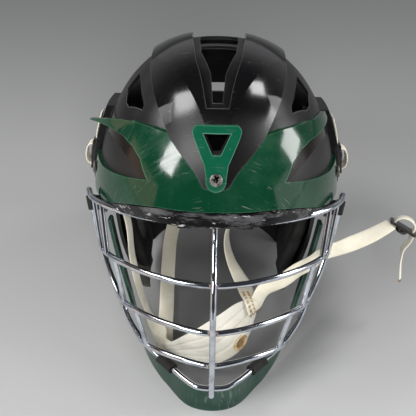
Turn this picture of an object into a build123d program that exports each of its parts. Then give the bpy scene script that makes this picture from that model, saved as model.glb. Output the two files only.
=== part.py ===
from build123d import *
import math
import os

# Lacrosse helmet: hard crown shell, clip-on visor, chromed wire mask, chin guard, straps and fit system.
# Millimetres, +Z up, the front of the helmet faces -Y, and X = 0 is its plane of symmetry.
# It is drawn level, as it is worn, and set down leaning back on its chin guard and rear corners.

# Driving dimensions of the crown shell, from the ear axis
half_width = 106
shell_front = 130
shell_back = 143
shell_up = 137
shell_down = 150
ear_axis_height = 160
ear_axis_back = 5
wall = 3
side_power = 2.3
profile_power = 2.25

# Where the helmet touches the floor when it is set down, in the worn frame
chin_reach = 128
chin_height = 4
rear_foot_back = 92
rear_foot_height = 66

# Layers over the shell, each measured out from the shell's outer face
layer_gap = 0.3
panel_proud = 5
visor_lift = 1.2
visor_proud = 4.4
horn_width = 15.8
pocket_skin = 0.5
cover_proud = 7
lip_proud = 5.6
trim_thickness = 2

# Mask
mask_half_width = 112
mask_reach = 157
wire_radius = 2.5
strut_radius = 2.1
weld_gap = 0.1
sleeve_wall = 2.4
arc_share = 0.45
brow_clip_share = 0.22
temple_clip_share = 0.36
clip_wall = 1.6
clip_reach = 14
clip_length = 12

# Chin guard and ear flaps
guard_thickness = 3
guard_width = 27
flap_thickness = 3
ear_hole_height = 48
ear_hole_width = 34
ear_hole_back = 22
ear_hole_middle = 122

# Webbing, pads and fasteners
webbing_width = 14
webbing_thickness = 1.8
cup_width = 42
cup_thickness = 9
pad_thickness = 12
pad_gap = 0.4
pad_corner = 14
webbing_slack = 1
screw_head_radius = 5.2
screw_head_height = 2
screw_shank_radius = 2
crown_fillet = 1
stud_radius = 3
snap_radius = 6
snap_foot = 2.5
snap_height = 4.5
snap_gap = 1.2
rear_snap_rise = 3
eyelet_length = 13
eyelet_width = 8
eyelet_depth = 8
eyelet_wall = 1.5
eyelet_inset_share = 0.36
free_plate_length = 27
free_plate_width = 20
stud_head_radius = 5.5
stud_head_thickness = 1.4
stud_foot = 1.2
buckle_width = 20
buckle_length = 28
buckle_thickness = 2.4
buckle_corner = 3
tail_gap = 1.1
tail_rise_shares = (0.56, 0.8, 1.1, 1.45)
running_gap = 0.05

# Fit system: adjuster knob at the back, its shaft and the nape cradle it draws forward
knob_height = 110
knob_radius = 15
knob_depth = 9
knob_shaft_radius = 3.5
knob_seat_radius = 8
knob_seat_back = 146.2
cradle_back = 120
cradle_half_width = 46
cradle_depth = 26
cradle_height = 30
cradle_thickness = 4
cradle_travel = 10
cradle_socket = 14
knob_grips = 10

# One overrun serves all cuts
overrun = 200

os.makedirs("parts", exist_ok=True)

# The worn frame, leaned back until the chin guard and the rear corners stand on the floor
lean = math.atan2(rear_foot_height - chin_height, rear_foot_back + chin_reach)
middle_back = (rear_foot_back - chin_reach) / 2
middle_height = (rear_foot_height + chin_height) / 2
worn_up = Vector(0, math.sin(lean), math.cos(lean))
worn_rear = Vector(0, math.cos(lean), -math.sin(lean))
worn = Plane(
    origin=worn_rear * -middle_back - worn_up * middle_height,
    x_dir=(1, 0, 0),
    z_dir=worn_up,
)
print(f"lean {math.degrees(lean):.2f} degrees, worn origin {worn.origin}")


def at(x, y, z):
    """A point of the worn frame."""
    return worn.from_local_coords(Vector(x, y, z))


def toward(x, y, z):
    """A direction of the worn frame."""
    return (at(x, y, z) - worn.origin).normalized()


def side_plane(x):
    """Sketch plane across the helmet: its own x runs rearward, its own y runs up."""
    return Plane(origin=at(x, 0, 0), x_dir=worn.y_dir, z_dir=worn.x_dir)


def front_plane(y):
    """Sketch plane seen from the front, extruded forward."""
    return Plane(origin=at(0, y, 0), x_dir=worn.x_dir, z_dir=-worn.y_dir)


def level_plane(z):
    """Sketch plane seen from above."""
    return Plane(origin=at(0, 0, z), x_dir=worn.x_dir, z_dir=worn.z_dir)


def from_side(shares):
    """Outline points seen from the side, from shares of the shell's front reach and ear height."""
    return [(y * shell_front, z * ear_axis_height) for y, z in shares]


def from_front(shares, side=1):
    """Outline points seen from the front, from shares of the half width and ear height."""
    return [(side * x * half_width, z * ear_axis_height) for x, z in shares]


def from_above(shares, side=1):
    """Outline points seen from above, from shares of the half width and front reach."""
    return [(side * x * half_width, y * shell_front) for x, y in shares]


def both_sides(half):
    """Close an outline drawn on the right half by its mirror image."""
    return list(half) + [(-x, y) for x, y in reversed(half) if x > 0]


def write(piece, name):
    """Label a finished piece and write its file."""
    piece.label = name
    export_step(piece, f"parts/{name}.step")


# Crown shell surface: profiles of the ear-to-ear sections, shrunk towards the sides

profile_points = 28
dome_station_shares = (-0.985, -0.93, -0.8, -0.6, -0.32, 0, 0.32, 0.6, 0.8, 0.93, 0.985)


def profile_radius(angle):
    """Distance from the ear axis to the shell at the midline, for an angle from straight up to the rear."""
    rear, up = math.sin(angle), math.cos(angle)
    along = abs(rear / (shell_back if rear > 0 else shell_front)) ** profile_power
    upright = abs(up / (shell_up if up > 0 else shell_down)) ** profile_power
    return (along + upright) ** (-1 / profile_power)


def dome(proud):
    """Solid inside the shell's outer face moved out by proud."""
    with BuildPart() as solid:
        for share in dome_station_shares:
            shrink = (1 - abs(share) ** side_power) ** (1 / side_power)
            turns = [math.tau * i / profile_points for i in range(profile_points)]
            radii = [(profile_radius(turn) + proud) * shrink for turn in turns]
            ring = [
                (ear_axis_back + r * math.sin(t), ear_axis_height + r * math.cos(t))
                for r, t in zip(radii, turns)
            ]
            with BuildSketch(side_plane(share * (half_width + proud))):
                with BuildLine():
                    Spline(*ring, periodic=True)
                make_face()
        loft()
    return solid.part


def surface_x(y, z, proud=0):
    """Half width of the shell at a place seen from the side."""
    rear, up = y - ear_axis_back, z - ear_axis_height
    reach = math.hypot(rear, up) / (profile_radius(math.atan2(rear, up)) + proud)
    return (half_width + proud) * max(0, 1 - reach**side_power) ** (1 / side_power)


def midline_plane(angle, proud):
    """Plane square to the shell at its midline, facing outward."""
    out = toward(0, math.sin(angle), math.cos(angle))
    start = at(0, ear_axis_back, ear_axis_height)
    return Plane(origin=start + out * (profile_radius(angle) + proud), x_dir=worn.x_dir, z_dir=out)


shell_core = dome(0)
shell_hollow = dome(-wall)
over_shell = dome(layer_gap)


def surface_plane(y, z, proud, side):
    """Plane square to the shell at a place seen from the side, facing outward."""
    step = wall / 10
    x = surface_x(y, z, proud)
    slope_y = (surface_x(y + step, z, proud) - x) / step
    slope_z = (surface_x(y, z + step, proud) - x) / step
    out = toward(side, -slope_y, -slope_z)
    return Plane(origin=at(side * x, y, z), x_dir=worn.y_dir, z_dir=out)


# Front screw through the trim's boss, and the screws of the visor and the ear flaps on each side
trim_rise = panel_proud + layer_gap
boss_angle = math.radians(-65)
screw_plane = midline_plane(boss_angle, trim_rise)
side_screws = {
    # place seen from the side, and how proud of the shell the screw's head seats
    "visor": (-0.2 * shell_front, 1.195 * ear_axis_height, visor_proud),
    "flap": (0.4 * shell_front, 1.02 * ear_axis_height, cover_proud),
}
bore_length = 12 * wall


def screw_bore(seat):
    """Round bore for a screw's shank, centred on the plane of its seat."""
    with BuildPart() as bore:
        with BuildSketch(seat.offset(-bore_length / 2)):
            Circle(screw_shank_radius + running_gap)
        extrude(amount=bore_length)
    return bore.part


def side_screw_bores(name, sides=(-1, 1)):
    """Bores of a side screw, on one side or both."""
    y, z, proud = side_screws[name]
    return [screw_bore(surface_plane(y, z, proud, side)) for side in sides]


# Outlines of the crown, as shares of the shell's sizes

shell_edge_shares = [
    (-1.12, 1.18), (-0.915, 1.18), (-0.8, 1.158), (-0.66, 1.126), (-0.51, 1.065), (-0.4, 0.99),
    (-0.23, 0.94), (0, 0.925), (0.31, 0.887), (0.52, 0.76), (0.63, 0.6), (0.68, 0.37), (1.23, 0.37),
    (1.23, 2.06), (-1.12, 2.06),
]
slot_front_shares = [(0.038, -0.62), (0.057, -0.42), (0.085, -0.33), (0.142, -0.14), (0.147, -0.015)]
slot_rear_shares = [(0.153, 0.03), (0.16, 0.13), (0.16, 0.35)]
side_vent_shares = [
    (0.65, -0.03), (0.745, -0.09), (0.736, -0.285), (0.708, -0.36), (0.585, -0.5), (0.575, -0.46),
    (0.613, -0.31),
]
rear_slit_shares = [(0.085, 1.325), (0.113, 1.395)]
rear_vent_shares = [(0.32, 1.19), (0.585, 1.225), (0.547, 1.387), (0.377, 1.41)]
front_vent_shares = [(0.11, 1.582), (0.026, 1.485)]
channel_shares = [(0.085, -0.69), (0.123, -0.53), (0.18, -0.315), (0.226, 0.154), (0.226, 0.92)]
panel_shares = [
    (0, 1.31), (0.094, 1.33), (0.16, 1.4), (0.245, 1.462), (0.358, 1.544), (0.443, 1.637), (0.495, 1.694),
    (0.547, 1.77), (0.566, 1.825), (0.566, 2.06), (0, 2.06),
]
slot_floor_share = 1.45
panel_rear_share = 0.73
nape_arch_half_width = 36
nape_arch_height = 28
nape_arch_foot = 60

# Shell: crown slot with its cross bar, side and rear vents, front vent and the arch at the nape

with BuildPart() as shell:
    add(shell_core)
    add(shell_hollow, mode=Mode.SUBTRACT)
    with BuildSketch(side_plane(0)):
        Polygon(*from_side(shell_edge_shares), align=None)
    extrude(amount=overrun, both=True, mode=Mode.INTERSECT)
    with BuildSketch(level_plane(slot_floor_share * ear_axis_height)):
        Polygon(*both_sides(from_above(slot_front_shares)), align=None)
        Polygon(*both_sides(from_above(slot_rear_shares)), align=None)
        for side in (-1, 1):
            Polygon(*from_above(side_vent_shares, side), align=None)
    extrude(amount=overrun, mode=Mode.SUBTRACT)
    with BuildSketch(front_plane(shell_back / 2)):
        Polygon(*both_sides(from_front(rear_slit_shares)), align=None)
        for side in (-1, 1):
            Polygon(*from_front(rear_vent_shares, side), align=None)
        with Locations((0, nape_arch_foot)):
            Ellipse(nape_arch_half_width, nape_arch_height)
    extrude(amount=-overrun, mode=Mode.SUBTRACT)
    with BuildSketch(front_plane(0)):
        Polygon(*both_sides(from_front(front_vent_shares)), align=None)
    extrude(amount=overrun, mode=Mode.SUBTRACT)
    with BuildSketch(front_plane(knob_seat_back)):
        with Locations((0, knob_height)):
            Circle(knob_shaft_radius + running_gap)
    extrude(amount=bore_length / 2, mode=Mode.SUBTRACT)
    add(screw_bore(screw_plane), mode=Mode.SUBTRACT)
    add(side_screw_bores("visor") + side_screw_bores("flap"), mode=Mode.SUBTRACT)
    with BuildSketch(Plane.XY):
        Rectangle(2 * overrun, 2 * overrun)
    extrude(amount=-overrun, mode=Mode.SUBTRACT)
write(shell.part, "shell")

# Crown panel: glossy V cover between the ridges, with the sunk channel left open

with BuildPart() as crown_panel:
    add(dome(panel_proud))
    add(over_shell, mode=Mode.SUBTRACT)
    with BuildSketch(front_plane(panel_rear_share * shell_back)):
        Polygon(*both_sides(from_front(panel_shares)), align=None)
    extrude(amount=2 * overrun, mode=Mode.INTERSECT)
    with BuildSketch(level_plane(slot_floor_share * ear_axis_height)):
        Polygon(*both_sides(from_above(channel_shares)), align=None)
    extrude(amount=overrun, mode=Mode.SUBTRACT)
    with BuildSketch(front_plane(0)):
        Polygon(*both_sides(from_front(front_vent_shares)), align=None)
    extrude(amount=overrun, mode=Mode.SUBTRACT)
    add(screw_bore(screw_plane), mode=Mode.SUBTRACT)
write(crown_panel.part, "crown_panel")

def place(share):
    """Place in the worn frame, from shares of the half width, the front reach and the ear height."""
    x, y, z = share
    return at(x * half_width, y * shell_front, z * ear_axis_height)


def station_planes(stations):
    """Section planes along stations of a place and a width direction: x across the piece, z along it."""
    centres = [place(share) for share, *_ in stations]
    planes = []
    for i, (_, across, *_) in enumerate(stations):
        run = (centres[min(i + 1, len(centres) - 1)] - centres[max(i - 1, 0)]).normalized()
        wide = toward(*across)
        wide = (wide - run * wide.dot(run)).normalized()
        planes.append(Plane(origin=centres[i], x_dir=wide, z_dir=run))
    return planes


def band(stations, width, thickness, ruled=False):
    """Band along stations, each with its own share of the width."""
    with BuildPart() as strip:
        for section_plane, (_, _, width_share) in zip(station_planes(stations), stations):
            with BuildSketch(section_plane):
                Rectangle(width * width_share, thickness)
        loft(ruled=ruled)
    return strip.part


# Visor: one sheet in two wings round the point of the crown panel, its left wing tip sprung outward

visor_shares = [
    (-1.12, 1.206), (-0.915, 1.21), (-0.815, 1.188), (-0.66, 1.14), (-0.54, 1.116), (-0.32, 1.097),
    (-0.123, 1.113), (-0.092, 1.19), (-0.123, 1.27), (-0.346, 1.275), (-0.46, 1.278), (-0.615, 1.294),
    (-0.73, 1.31), (-0.835, 1.331), (-0.8, 1.37), (-0.754, 1.42), (-0.677, 1.462), (-0.577, 1.484),
    (-0.385, 1.488), (-0.23, 1.484), (-0.077, 1.481), (-0.092, 1.516), (-0.223, 1.534), (-0.385, 1.553),
    (-0.5, 1.566), (-0.67, 1.57), (-0.77, 1.556), (-1.12, 1.575),
]
sprung_shares = [(-0.55, 1.4), (0.1, 1.4), (0.1, 1.7), (-0.55, 1.7)]
notch_gap = 0.5
horn_stations = [
    # place of the middle, width direction, share of the horn's width
    ((-0.6575, -0.595, 1.518), (0.59, 0, 0.81), 1),
    ((-0.752, -0.5, 1.518), (0.42, 0, 0.9), 0.72),
    ((-0.875, -0.4, 1.513), (0.2, 0, 0.98), 0.39),
    ((-1.02, -0.315, 1.506), (0, 0, 1), 0.06),
]

with BuildPart() as visor:
    add(dome(visor_proud))
    with BuildSketch(side_plane(0)):
        Polygon(*from_side(visor_shares), align=None)
    extrude(amount=overrun, both=True, mode=Mode.INTERSECT)
    with BuildSketch(front_plane(0)):
        Polygon(*both_sides(from_front(panel_shares)), align=None)
        offset(amount=notch_gap)
    extrude(amount=overrun, mode=Mode.SUBTRACT)
    with BuildSketch(side_plane(0)):
        Polygon(*from_side(sprung_shares), align=None)
    extrude(amount=-overrun, mode=Mode.SUBTRACT)
    add(band(horn_stations, horn_width, visor_proud - visor_lift))
    add(dome(visor_lift), mode=Mode.SUBTRACT)
    add(side_screw_bores("visor"), mode=Mode.SUBTRACT)
write(visor.part, "visor")

# Side pockets: thin dull panels that lie on the shell inside the visor's two openings

pocket_shares = [
    (-0.84, 1.333), (-0.74, 1.3), (-0.615, 1.286), (-0.46, 1.27), (-0.14, 1.256), (-0.1, 1.39), (-0.14, 1.5),
    (-0.385, 1.5), (-0.577, 1.495), (-0.69, 1.47), (-0.77, 1.42),
]
pocket_skin_solid = dome(layer_gap + pocket_skin)
for name, side in (("left", -1), ("right", 1)):
    with BuildPart() as side_pocket:
        add(pocket_skin_solid)
        add(over_shell, mode=Mode.SUBTRACT)
        with BuildSketch(side_plane(0)):
            Polygon(*from_side(pocket_shares), align=None)
        extrude(amount=side * overrun, mode=Mode.INTERSECT)
    write(side_pocket.part, f"side_pocket_{name}")

# Side covers: the raised panels over the ears, which carry the temple buckles

cover_shares = [
    (-0.06, 1.1), (-0.06, 1.3), (-0.03, 1.42), (0.08, 1.475), (0.385, 1.475), (0.57, 1.41), (0.69, 1.29),
    (0.72, 1.15), (0.61, 1), (0.31, 0.95), (0.06, 0.99),
]
cover_edge_radius = 3
cover_solid = dome(cover_proud)
for name, side in (("left", -1), ("right", 1)):
    with BuildPart() as side_cover:
        add(cover_solid)
        add(over_shell, mode=Mode.SUBTRACT)
        with BuildSketch(side_plane(0)) as cover_outline:
            Polygon(*from_side(cover_shares), align=None)
            fillet(cover_outline.vertices(), 3 * cover_edge_radius)
        extrude(amount=side * overrun, mode=Mode.INTERSECT)
        add(side_screw_bores("flap", [side]), mode=Mode.SUBTRACT)
    write(side_cover.part, f"side_cover_{name}")

# Front vent trim: a rounded triangle with a boss, on the point of the crown panel

trim_shares = [(0.16, 1.613), (0.189, 1.591), (0.175, 1.56), (0.09, 1.44), (0.075, 1.37)]
trim_corner_radius = 2
trim_hole_shares = [(0.105, 1.579), (0.03, 1.485)]
boss_radius = 8.2

with BuildPart() as front_vent_trim:
    add(dome(trim_rise + trim_thickness))
    add(dome(trim_rise), mode=Mode.SUBTRACT)
    with BuildSketch(front_plane(0)) as trim_outline:
        Polygon(*both_sides(from_front(trim_shares)), align=None)
        fillet(trim_outline.vertices().group_by(Axis.Z)[-1], trim_corner_radius)
        boss_height = worn.to_local_coords(screw_plane.origin).Z
        with Locations((0, boss_height)):
            Circle(boss_radius)
        Polygon(*both_sides(from_front(trim_hole_shares)), align=None, mode=Mode.SUBTRACT)
    extrude(amount=overrun, mode=Mode.INTERSECT)
    add(screw_bore(screw_plane), mode=Mode.SUBTRACT)
write(front_vent_trim.part, "front_vent_trim")

# Mask wires. The jaw wire runs from temple to temple below the chin, and the cross bars end on it.

jaw_shares = {
    # width, forward reach and height as shares of the mask's half width, the mask's reach and the ear height
    "temple": (0.996, 0.287, 1.105), "high": (0.946, 0.293, 0.894), "upper": (0.911, 0.318, 0.794),
    "brace": (0.83, 0.39, 0.64), "middle": (0.756, 0.452, 0.55), "cheek": (0.67, 0.53, 0.425),
    "lower": (0.571, 0.592, 0.344), "jaw": (0.46, 0.64, 0.285), "clip": (0.366, 0.688, 0.256),
    "chin_side": (0.241, 0.79, 0.231), "chin_corner": (0.121, 0.873, 0.216), "chin": (0, 0.882, 0.2145),
}
cross_bar_shares = {
    # jaw station where it ends, forward reach at the middle, height at the middle, power of its plan curve
    "mask_bar_brow": ("temple", 0.758, 1.119, 1.8),
    "mask_bar_upper": ("upper", 0.968, 0.875, 1.6),
    "mask_bar_middle": ("middle", 1, 0.619, 1.35),
    "mask_bar_lower": ("lower", 0.949, 0.394, 1.15),
}
bar_samples = 6

def mask_point(share):
    """Place on the mask, in the worn frame, from its shares."""
    x, y, z = share
    return Vector(x * mask_half_width, -y * mask_reach, z * ear_axis_height)


def cross_bar_point(name, across):
    """Place on a cross bar, for a share of its half width from -1 to 1."""
    station, reach_share, height_share, power = cross_bar_shares[name]
    end = mask_point(jaw_shares[station])
    arch = math.sqrt(max(0, 1 - abs(across) ** power))
    back = end.Y - wire_radius / 2
    forward = back + (-reach_share * mask_reach - back) * arch
    middle_z = height_share * ear_axis_height
    return Vector(across * end.X, forward, middle_z - (middle_z - end.Z) * (1 - arch) ** 3)


def rounded_path(points):
    """Corner points in the rest frame and the radii of the arcs that round them."""
    places = [worn.from_local_coords(point) for point in points]
    radii = []
    for before, here, after in zip(places, places[1:], places[2:]):
        shorter = min((here - before).length, (after - here).length)
        half_turn = math.radians((here - before).get_angle(after - here)) / 2
        radii.append(arc_share * shorter / math.tan(half_turn))
    return places, radii


def wire(points, radius, bore=0):
    """Round wire, or a tube with a bore, along rounded points of the worn frame."""
    with BuildPart() as rod:
        with BuildLine() as line:
            places, radii = rounded_path(points)
            FilletPolyline(*places, radius=radii)
        with BuildSketch(Plane(origin=line.line @ 0, z_dir=line.line % 0)):
            Circle(radius)
            if bore:
                Circle(bore, mode=Mode.SUBTRACT)
        sweep()
    return rod.part


def bore_of(points, gap):
    """Room for a wire, with a gap all round it."""
    return wire(points, wire_radius + gap)


jaw_half = [mask_point(share) for share in jaw_shares.values()]
jaw_points = [Vector(-p.X, p.Y, p.Z) for p in jaw_half[:-1]] + list(reversed(jaw_half))
write(wire(jaw_points, wire_radius), "mask_jaw_wire")
jaw_cope = bore_of(jaw_points, weld_gap)

cross_bars = {}
bar_copes = [jaw_cope]
for bar_name in cross_bar_shares:
    turns = [math.pi / 2 * i / bar_samples for i in range(-bar_samples, bar_samples + 1)]
    cross_bars[bar_name] = [cross_bar_point(bar_name, math.sin(turn)) for turn in turns]
    bar_copes.append(bore_of(cross_bars[bar_name], weld_gap))
    with BuildPart() as cross_bar:
        add(wire(cross_bars[bar_name], wire_radius))
        add(jaw_cope, mode=Mode.SUBTRACT)
    write(cross_bar.part, bar_name)

# Centre bar: in front of the cross bars, from the brow bar down past the jaw wire
centre_offset = Vector(0, 2 * wire_radius + weld_gap, 0)
centre_points = [cross_bar_point("mask_bar_brow", 0)]
centre_points.append(centre_points[0] - Vector(0, 2 * wire_radius, 5 * wire_radius))
for bar_name in ("mask_bar_upper", "mask_bar_middle", "mask_bar_lower"):
    centre_points.append(cross_bar_point(bar_name, 0) - centre_offset)
centre_points.append(mask_point(jaw_shares["chin"]) - centre_offset)
centre_points.append(centre_points[-1] + Vector(0, wire_radius / 2, -2 * wire_radius))
with BuildPart() as mask_centre_bar:
    add(wire(centre_points, wire_radius))
    add(bar_copes, mode=Mode.SUBTRACT)
write(mask_centre_bar.part, "mask_centre_bar")

# Struts: four short wires on each side, butted between the cross bars
strut_shares = [
    # upper bar and the share of its half width, lower bar and its share
    ("mask_bar_brow", 0.93, "mask_bar_upper", 0.955),
    ("mask_bar_brow", 0.865, "mask_bar_upper", 0.895),
    ("mask_bar_upper", 0.825, "mask_bar_middle", 0.9),
    ("mask_bar_middle", 0.78, "mask_bar_lower", 0.88),
]
for name, side in (("left", -1), ("right", 1)):
    with BuildPart() as mask_struts:
        for upper_bar, upper_share, lower_bar, lower_share in strut_shares:
            top = worn.from_local_coords(cross_bar_point(upper_bar, side * upper_share))
            bottom = worn.from_local_coords(cross_bar_point(lower_bar, side * lower_share))
            with BuildSketch(Plane(origin=top, z_dir=bottom - top)):
                Circle(strut_radius)
            extrude(amount=(bottom - top).length)
        add(bar_copes, mode=Mode.SUBTRACT)
        least = strut_radius**3
        add([piece for piece in mask_struts.solids() if piece.volume < least], mode=Mode.SUBTRACT)
    write(mask_struts.part, f"mask_struts_{name}")

# Rubber sleeves on the jaw wire, bent with it round the bend beside the chin
sleeve_stops = [list(jaw_shares).index(key) for key in ("jaw", "clip", "chin_side")]
for name, side in (("left", -1), ("right", 1)):
    path = [Vector(side * jaw_half[i].X, jaw_half[i].Y, jaw_half[i].Z) for i in sleeve_stops]
    path = [(path[0] + path[1]) / 2, path[1], (path[1] + path[2]) / 2]
    with BuildPart() as mask_sleeve:
        add(wire(path, wire_radius + sleeve_wall))
        add(wire(jaw_points, wire_radius + running_gap), mode=Mode.SUBTRACT)
    write(mask_sleeve.part, f"mask_sleeve_{name}")

# Brow clips: a loop round the brow bar, with a foot that reaches up inside the shell
brow_bore = bore_of(cross_bars["mask_bar_brow"], running_gap)
brow_groove = bore_of(cross_bars["mask_bar_brow"], layer_gap)
inside_shell = dome(-wall - layer_gap)
for name, side in (("left", -1), ("right", 1)):
    spot = cross_bar_point("mask_bar_brow", side * brow_clip_share)
    with BuildPart() as mask_clip_brow:
        with BuildSketch(side_plane(spot.X)):
            with Locations((spot.Y + clip_wall, spot.Z + clip_reach / 2)):
                Rectangle(2 * clip_wall, clip_reach)
        extrude(amount=clip_length / 2, both=True)
        add(inside_shell, mode=Mode.INTERSECT)
        with BuildSketch(side_plane(spot.X)):
            with Locations((spot.Y, spot.Z)):
                Circle(wire_radius + clip_wall)
        extrude(amount=clip_length / 2, both=True)
        add(brow_bore, mode=Mode.SUBTRACT)
    write(mask_clip_brow.part, f"mask_clip_brow_{name}")

# Temple clips: a loop round the top of the jaw wire, with a foot on the shell's side
jaw_bore = bore_of(jaw_points, running_gap)
for name, side in (("left", -1), ("right", 1)):
    top, low = [Vector(side * p.X, p.Y, p.Z) for p in jaw_half[:2]]
    spot = top + (low - top) * temple_clip_share
    with BuildPart() as mask_clip_temple:
        run = worn.from_local_coords(low) - worn.from_local_coords(top)
        with BuildSketch(Plane(origin=worn.from_local_coords(spot), z_dir=run)):
            Circle(wire_radius + clip_wall)
        extrude(amount=clip_length / 2, both=True)
        with BuildSketch(side_plane(spot.X)):
            with Locations((spot.Y, spot.Z)):
                Rectangle(2 * wire_radius, clip_length)
        extrude(amount=-side * clip_reach)
        add(over_shell, mode=Mode.SUBTRACT)
        add(jaw_bore, mode=Mode.SUBTRACT)
    write(mask_clip_temple.part, f"mask_clip_temple_{name}")

# Brow lip, under the visor's lower edge, with a groove for the brow bar

lip_shares = [
    (-1.12, 1.13), (-0.99, 1.13), (-0.915, 1.138), (-0.79, 1.126), (-0.67, 1.108), (-0.54, 1.083),
    (-0.46, 1.066), (-0.445, 1.08), (-0.54, 1.111), (-0.66, 1.136), (-0.815, 1.183), (-0.915, 1.205),
    (-1.12, 1.202),
]

with BuildPart() as brow_lip:
    add(dome(lip_proud))
    add(over_shell, mode=Mode.SUBTRACT)
    with BuildSketch(side_plane(0)):
        Polygon(*from_side(lip_shares), align=None)
    extrude(amount=overrun, both=True, mode=Mode.INTERSECT)
    add(brow_groove, mode=Mode.SUBTRACT)
write(brow_lip.part, "brow_lip")

# Chin guard: a band round the chin whose arms run up the front edges of the ear flaps

guard_shares = [
    # x, y, z of the centre line as shares of the half width, front reach and ear height, then the width's
    (0, -0.996, 0.104, 1), (0.19, -0.954, 0.112, 1), (0.35, -0.8, 0.139, 0.94), (0.52, -0.675, 0.225, 0.9),
    (0.63, -0.53, 0.34, 0.76), (0.717, -0.425, 0.51, 0.54), (0.783, -0.39, 0.66, 0.45),
    (0.84, -0.385, 0.82, 0.42), (0.875, -0.4, 0.955, 0.38),
]
guard_lean = (0, -0.25, 1)


def guard_station(share, side):
    """Station of the guard's band, whose width turns from upright at the chin to rearward at the jaw."""
    x, y, z, width_share = share
    across = (side * 0.1, -0.1 - 0.9 * min(1, z), max(0, 1 - z)) if z > 0.2 else guard_lean
    return (side * x, y, z), across, width_share


guard_stations = [guard_station(share, -1) for share in reversed(guard_shares[1:])]
guard_stations += [guard_station(share, 1) for share in guard_shares]
with BuildPart() as chin_guard:
    add(band(guard_stations, guard_width, guard_thickness))
    with BuildSketch(Plane.XY):
        Rectangle(2 * overrun, 2 * overrun)
    extrude(amount=-overrun, mode=Mode.SUBTRACT)
write(chin_guard.part, "chin_guard")

# Ear flaps: curved plates below the shell, with an ear hole, drawn in towards the jaw

flap_shares = [
    # height, then front, middle and rear as x and y shares of the half width and front reach
    (1.05, (0.85, -0.37), (0.955, 0.06), (0.905, 0.45)),
    (0.906, (0.82, -0.355), (0.887, 0.09), (0.868, 0.52)),
    (0.75, (0.775, -0.34), (0.83, 0.115), (0.81, 0.58)),
    (0.594, (0.7, -0.31), (0.755, 0.154), (0.736, 0.57)),
    (0.469, (0.645, -0.215), (0.69, 0.17), (0.67, 0.49)),
    (0.375, (0.6, -0.06), (0.623, 0.17), (0.613, 0.37)),
]


def curved_plate(rows, side, outer_inset, inner_inset):
    """Plate through level arcs, between two insets from its outer face."""
    with BuildPart() as plate:
        for height, front, middle, rear in rows:
            arc = [(x * half_width, y * shell_front) for x, y in (front, middle, rear)]
            outer = [(side * (x - outer_inset), y) for x, y in arc]
            inner = [(side * (x - inner_inset), y) for x, y in arc]
            with BuildSketch(level_plane(height * ear_axis_height)):
                with BuildLine():
                    ThreePointArc(*outer)
                    Line(outer[2], inner[2])
                    ThreePointArc(*reversed(inner))
                    Line(inner[0], outer[0])
                make_face()
        loft()
    return plate.part


for name, side in (("left", -1), ("right", 1)):
    with BuildPart() as ear_flap:
        add(curved_plate(flap_shares, side, 0, flap_thickness))
        with BuildSketch(side_plane(0)):
            with Locations((ear_hole_back, ear_hole_middle)):
                Ellipse(ear_hole_width / 2, ear_hole_height / 2)
        extrude(amount=side * overrun, mode=Mode.SUBTRACT)
        add(side_screw_bores("flap", [side]), mode=Mode.SUBTRACT)
    write(ear_flap.part, f"ear_flap_{name}")

# Cheek pads, inside the ear flaps
cheek_shares = {"front": -0.16, "rear": 0.46, "low": 0.51, "high": 0.93}
for name, side in (("left", -1), ("right", 1)):
    with BuildPart() as cheek_pad:
        inset = flap_thickness + pad_gap
        add(curved_plate(flap_shares, side, inset, inset + pad_thickness))
        with BuildSketch(side_plane(0)):
            span = (cheek_shares["rear"] - cheek_shares["front"]) * shell_front
            rise = (cheek_shares["high"] - cheek_shares["low"]) * ear_axis_height
            middle = cheek_shares["front"] * shell_front + span / 2
            with Locations((middle, cheek_shares["low"] * ear_axis_height + rise / 2)):
                RectangleRounded(span, rise, pad_corner)
        extrude(amount=side * overrun, mode=Mode.INTERSECT)
        with BuildSketch(side_plane(0)):
            with Locations((ear_hole_back, ear_hole_middle)):
                Ellipse(ear_hole_width / 2, ear_hole_height / 2)
        extrude(amount=side * overrun, mode=Mode.SUBTRACT)
    write(cheek_pad.part, f"cheek_pad_{name}")

# Liner pads, inside the shell

liner_outer = dome(-wall - pad_gap)
liner_inner = dome(-wall - pad_gap - pad_thickness)
with BuildPart() as liner:
    add(liner_outer)
    add(liner_inner, mode=Mode.SUBTRACT)
liner_skin = liner.part
front_pad_shares = [(0, 1.22), (0.3, 1.22), (0.52, 1.26), (0.5, 1.4), (0.3, 1.45), (0, 1.45)]
crown_pad_shares = [(0.25, -0.42), (0.5, -0.38), (0.55, 0), (0.52, 0.4), (0.27, 0.44)]
side_pad_shares = [(-0.3, 1.15), (0.5, 1.13), (0.53, 1.3), (0.45, 1.42), (-0.2, 1.42), (-0.32, 1.3)]
rear_pad_shares = [(0, 0.88), (0.4, 0.9), (0.5, 1), (0.45, 1.15), (0, 1.17)]

with BuildPart() as pad_front:
    add(liner_skin)
    with BuildSketch(front_plane(0)):
        Polygon(*both_sides(from_front(front_pad_shares)), align=None)
    extrude(amount=overrun, mode=Mode.INTERSECT)
write(pad_front.part, "pad_front")

with BuildPart() as pad_rear:
    add(liner_skin)
    with BuildSketch(front_plane(0)):
        Polygon(*both_sides(from_front(rear_pad_shares)), align=None)
    extrude(amount=-overrun, mode=Mode.INTERSECT)
write(pad_rear.part, "pad_rear")

for name, side in (("left", -1), ("right", 1)):
    with BuildPart() as pad_crown:
        add(liner_skin)
        with BuildSketch(level_plane(slot_floor_share * ear_axis_height)):
            Polygon(*from_above(crown_pad_shares, side), align=None)
        extrude(amount=overrun, mode=Mode.INTERSECT)
    write(pad_crown.part, f"pad_crown_{name}")
    with BuildPart() as pad_side:
        add(liner_skin)
        with BuildSketch(side_plane(0)):
            Polygon(*from_side(side_pad_shares), align=None)
        extrude(amount=side * overrun, mode=Mode.INTERSECT)
    write(pad_side.part, f"pad_side_{name}")

# Fit system: knob outside the shell, its shaft through the rear wall, and the cradle that rides on the shaft

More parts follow.
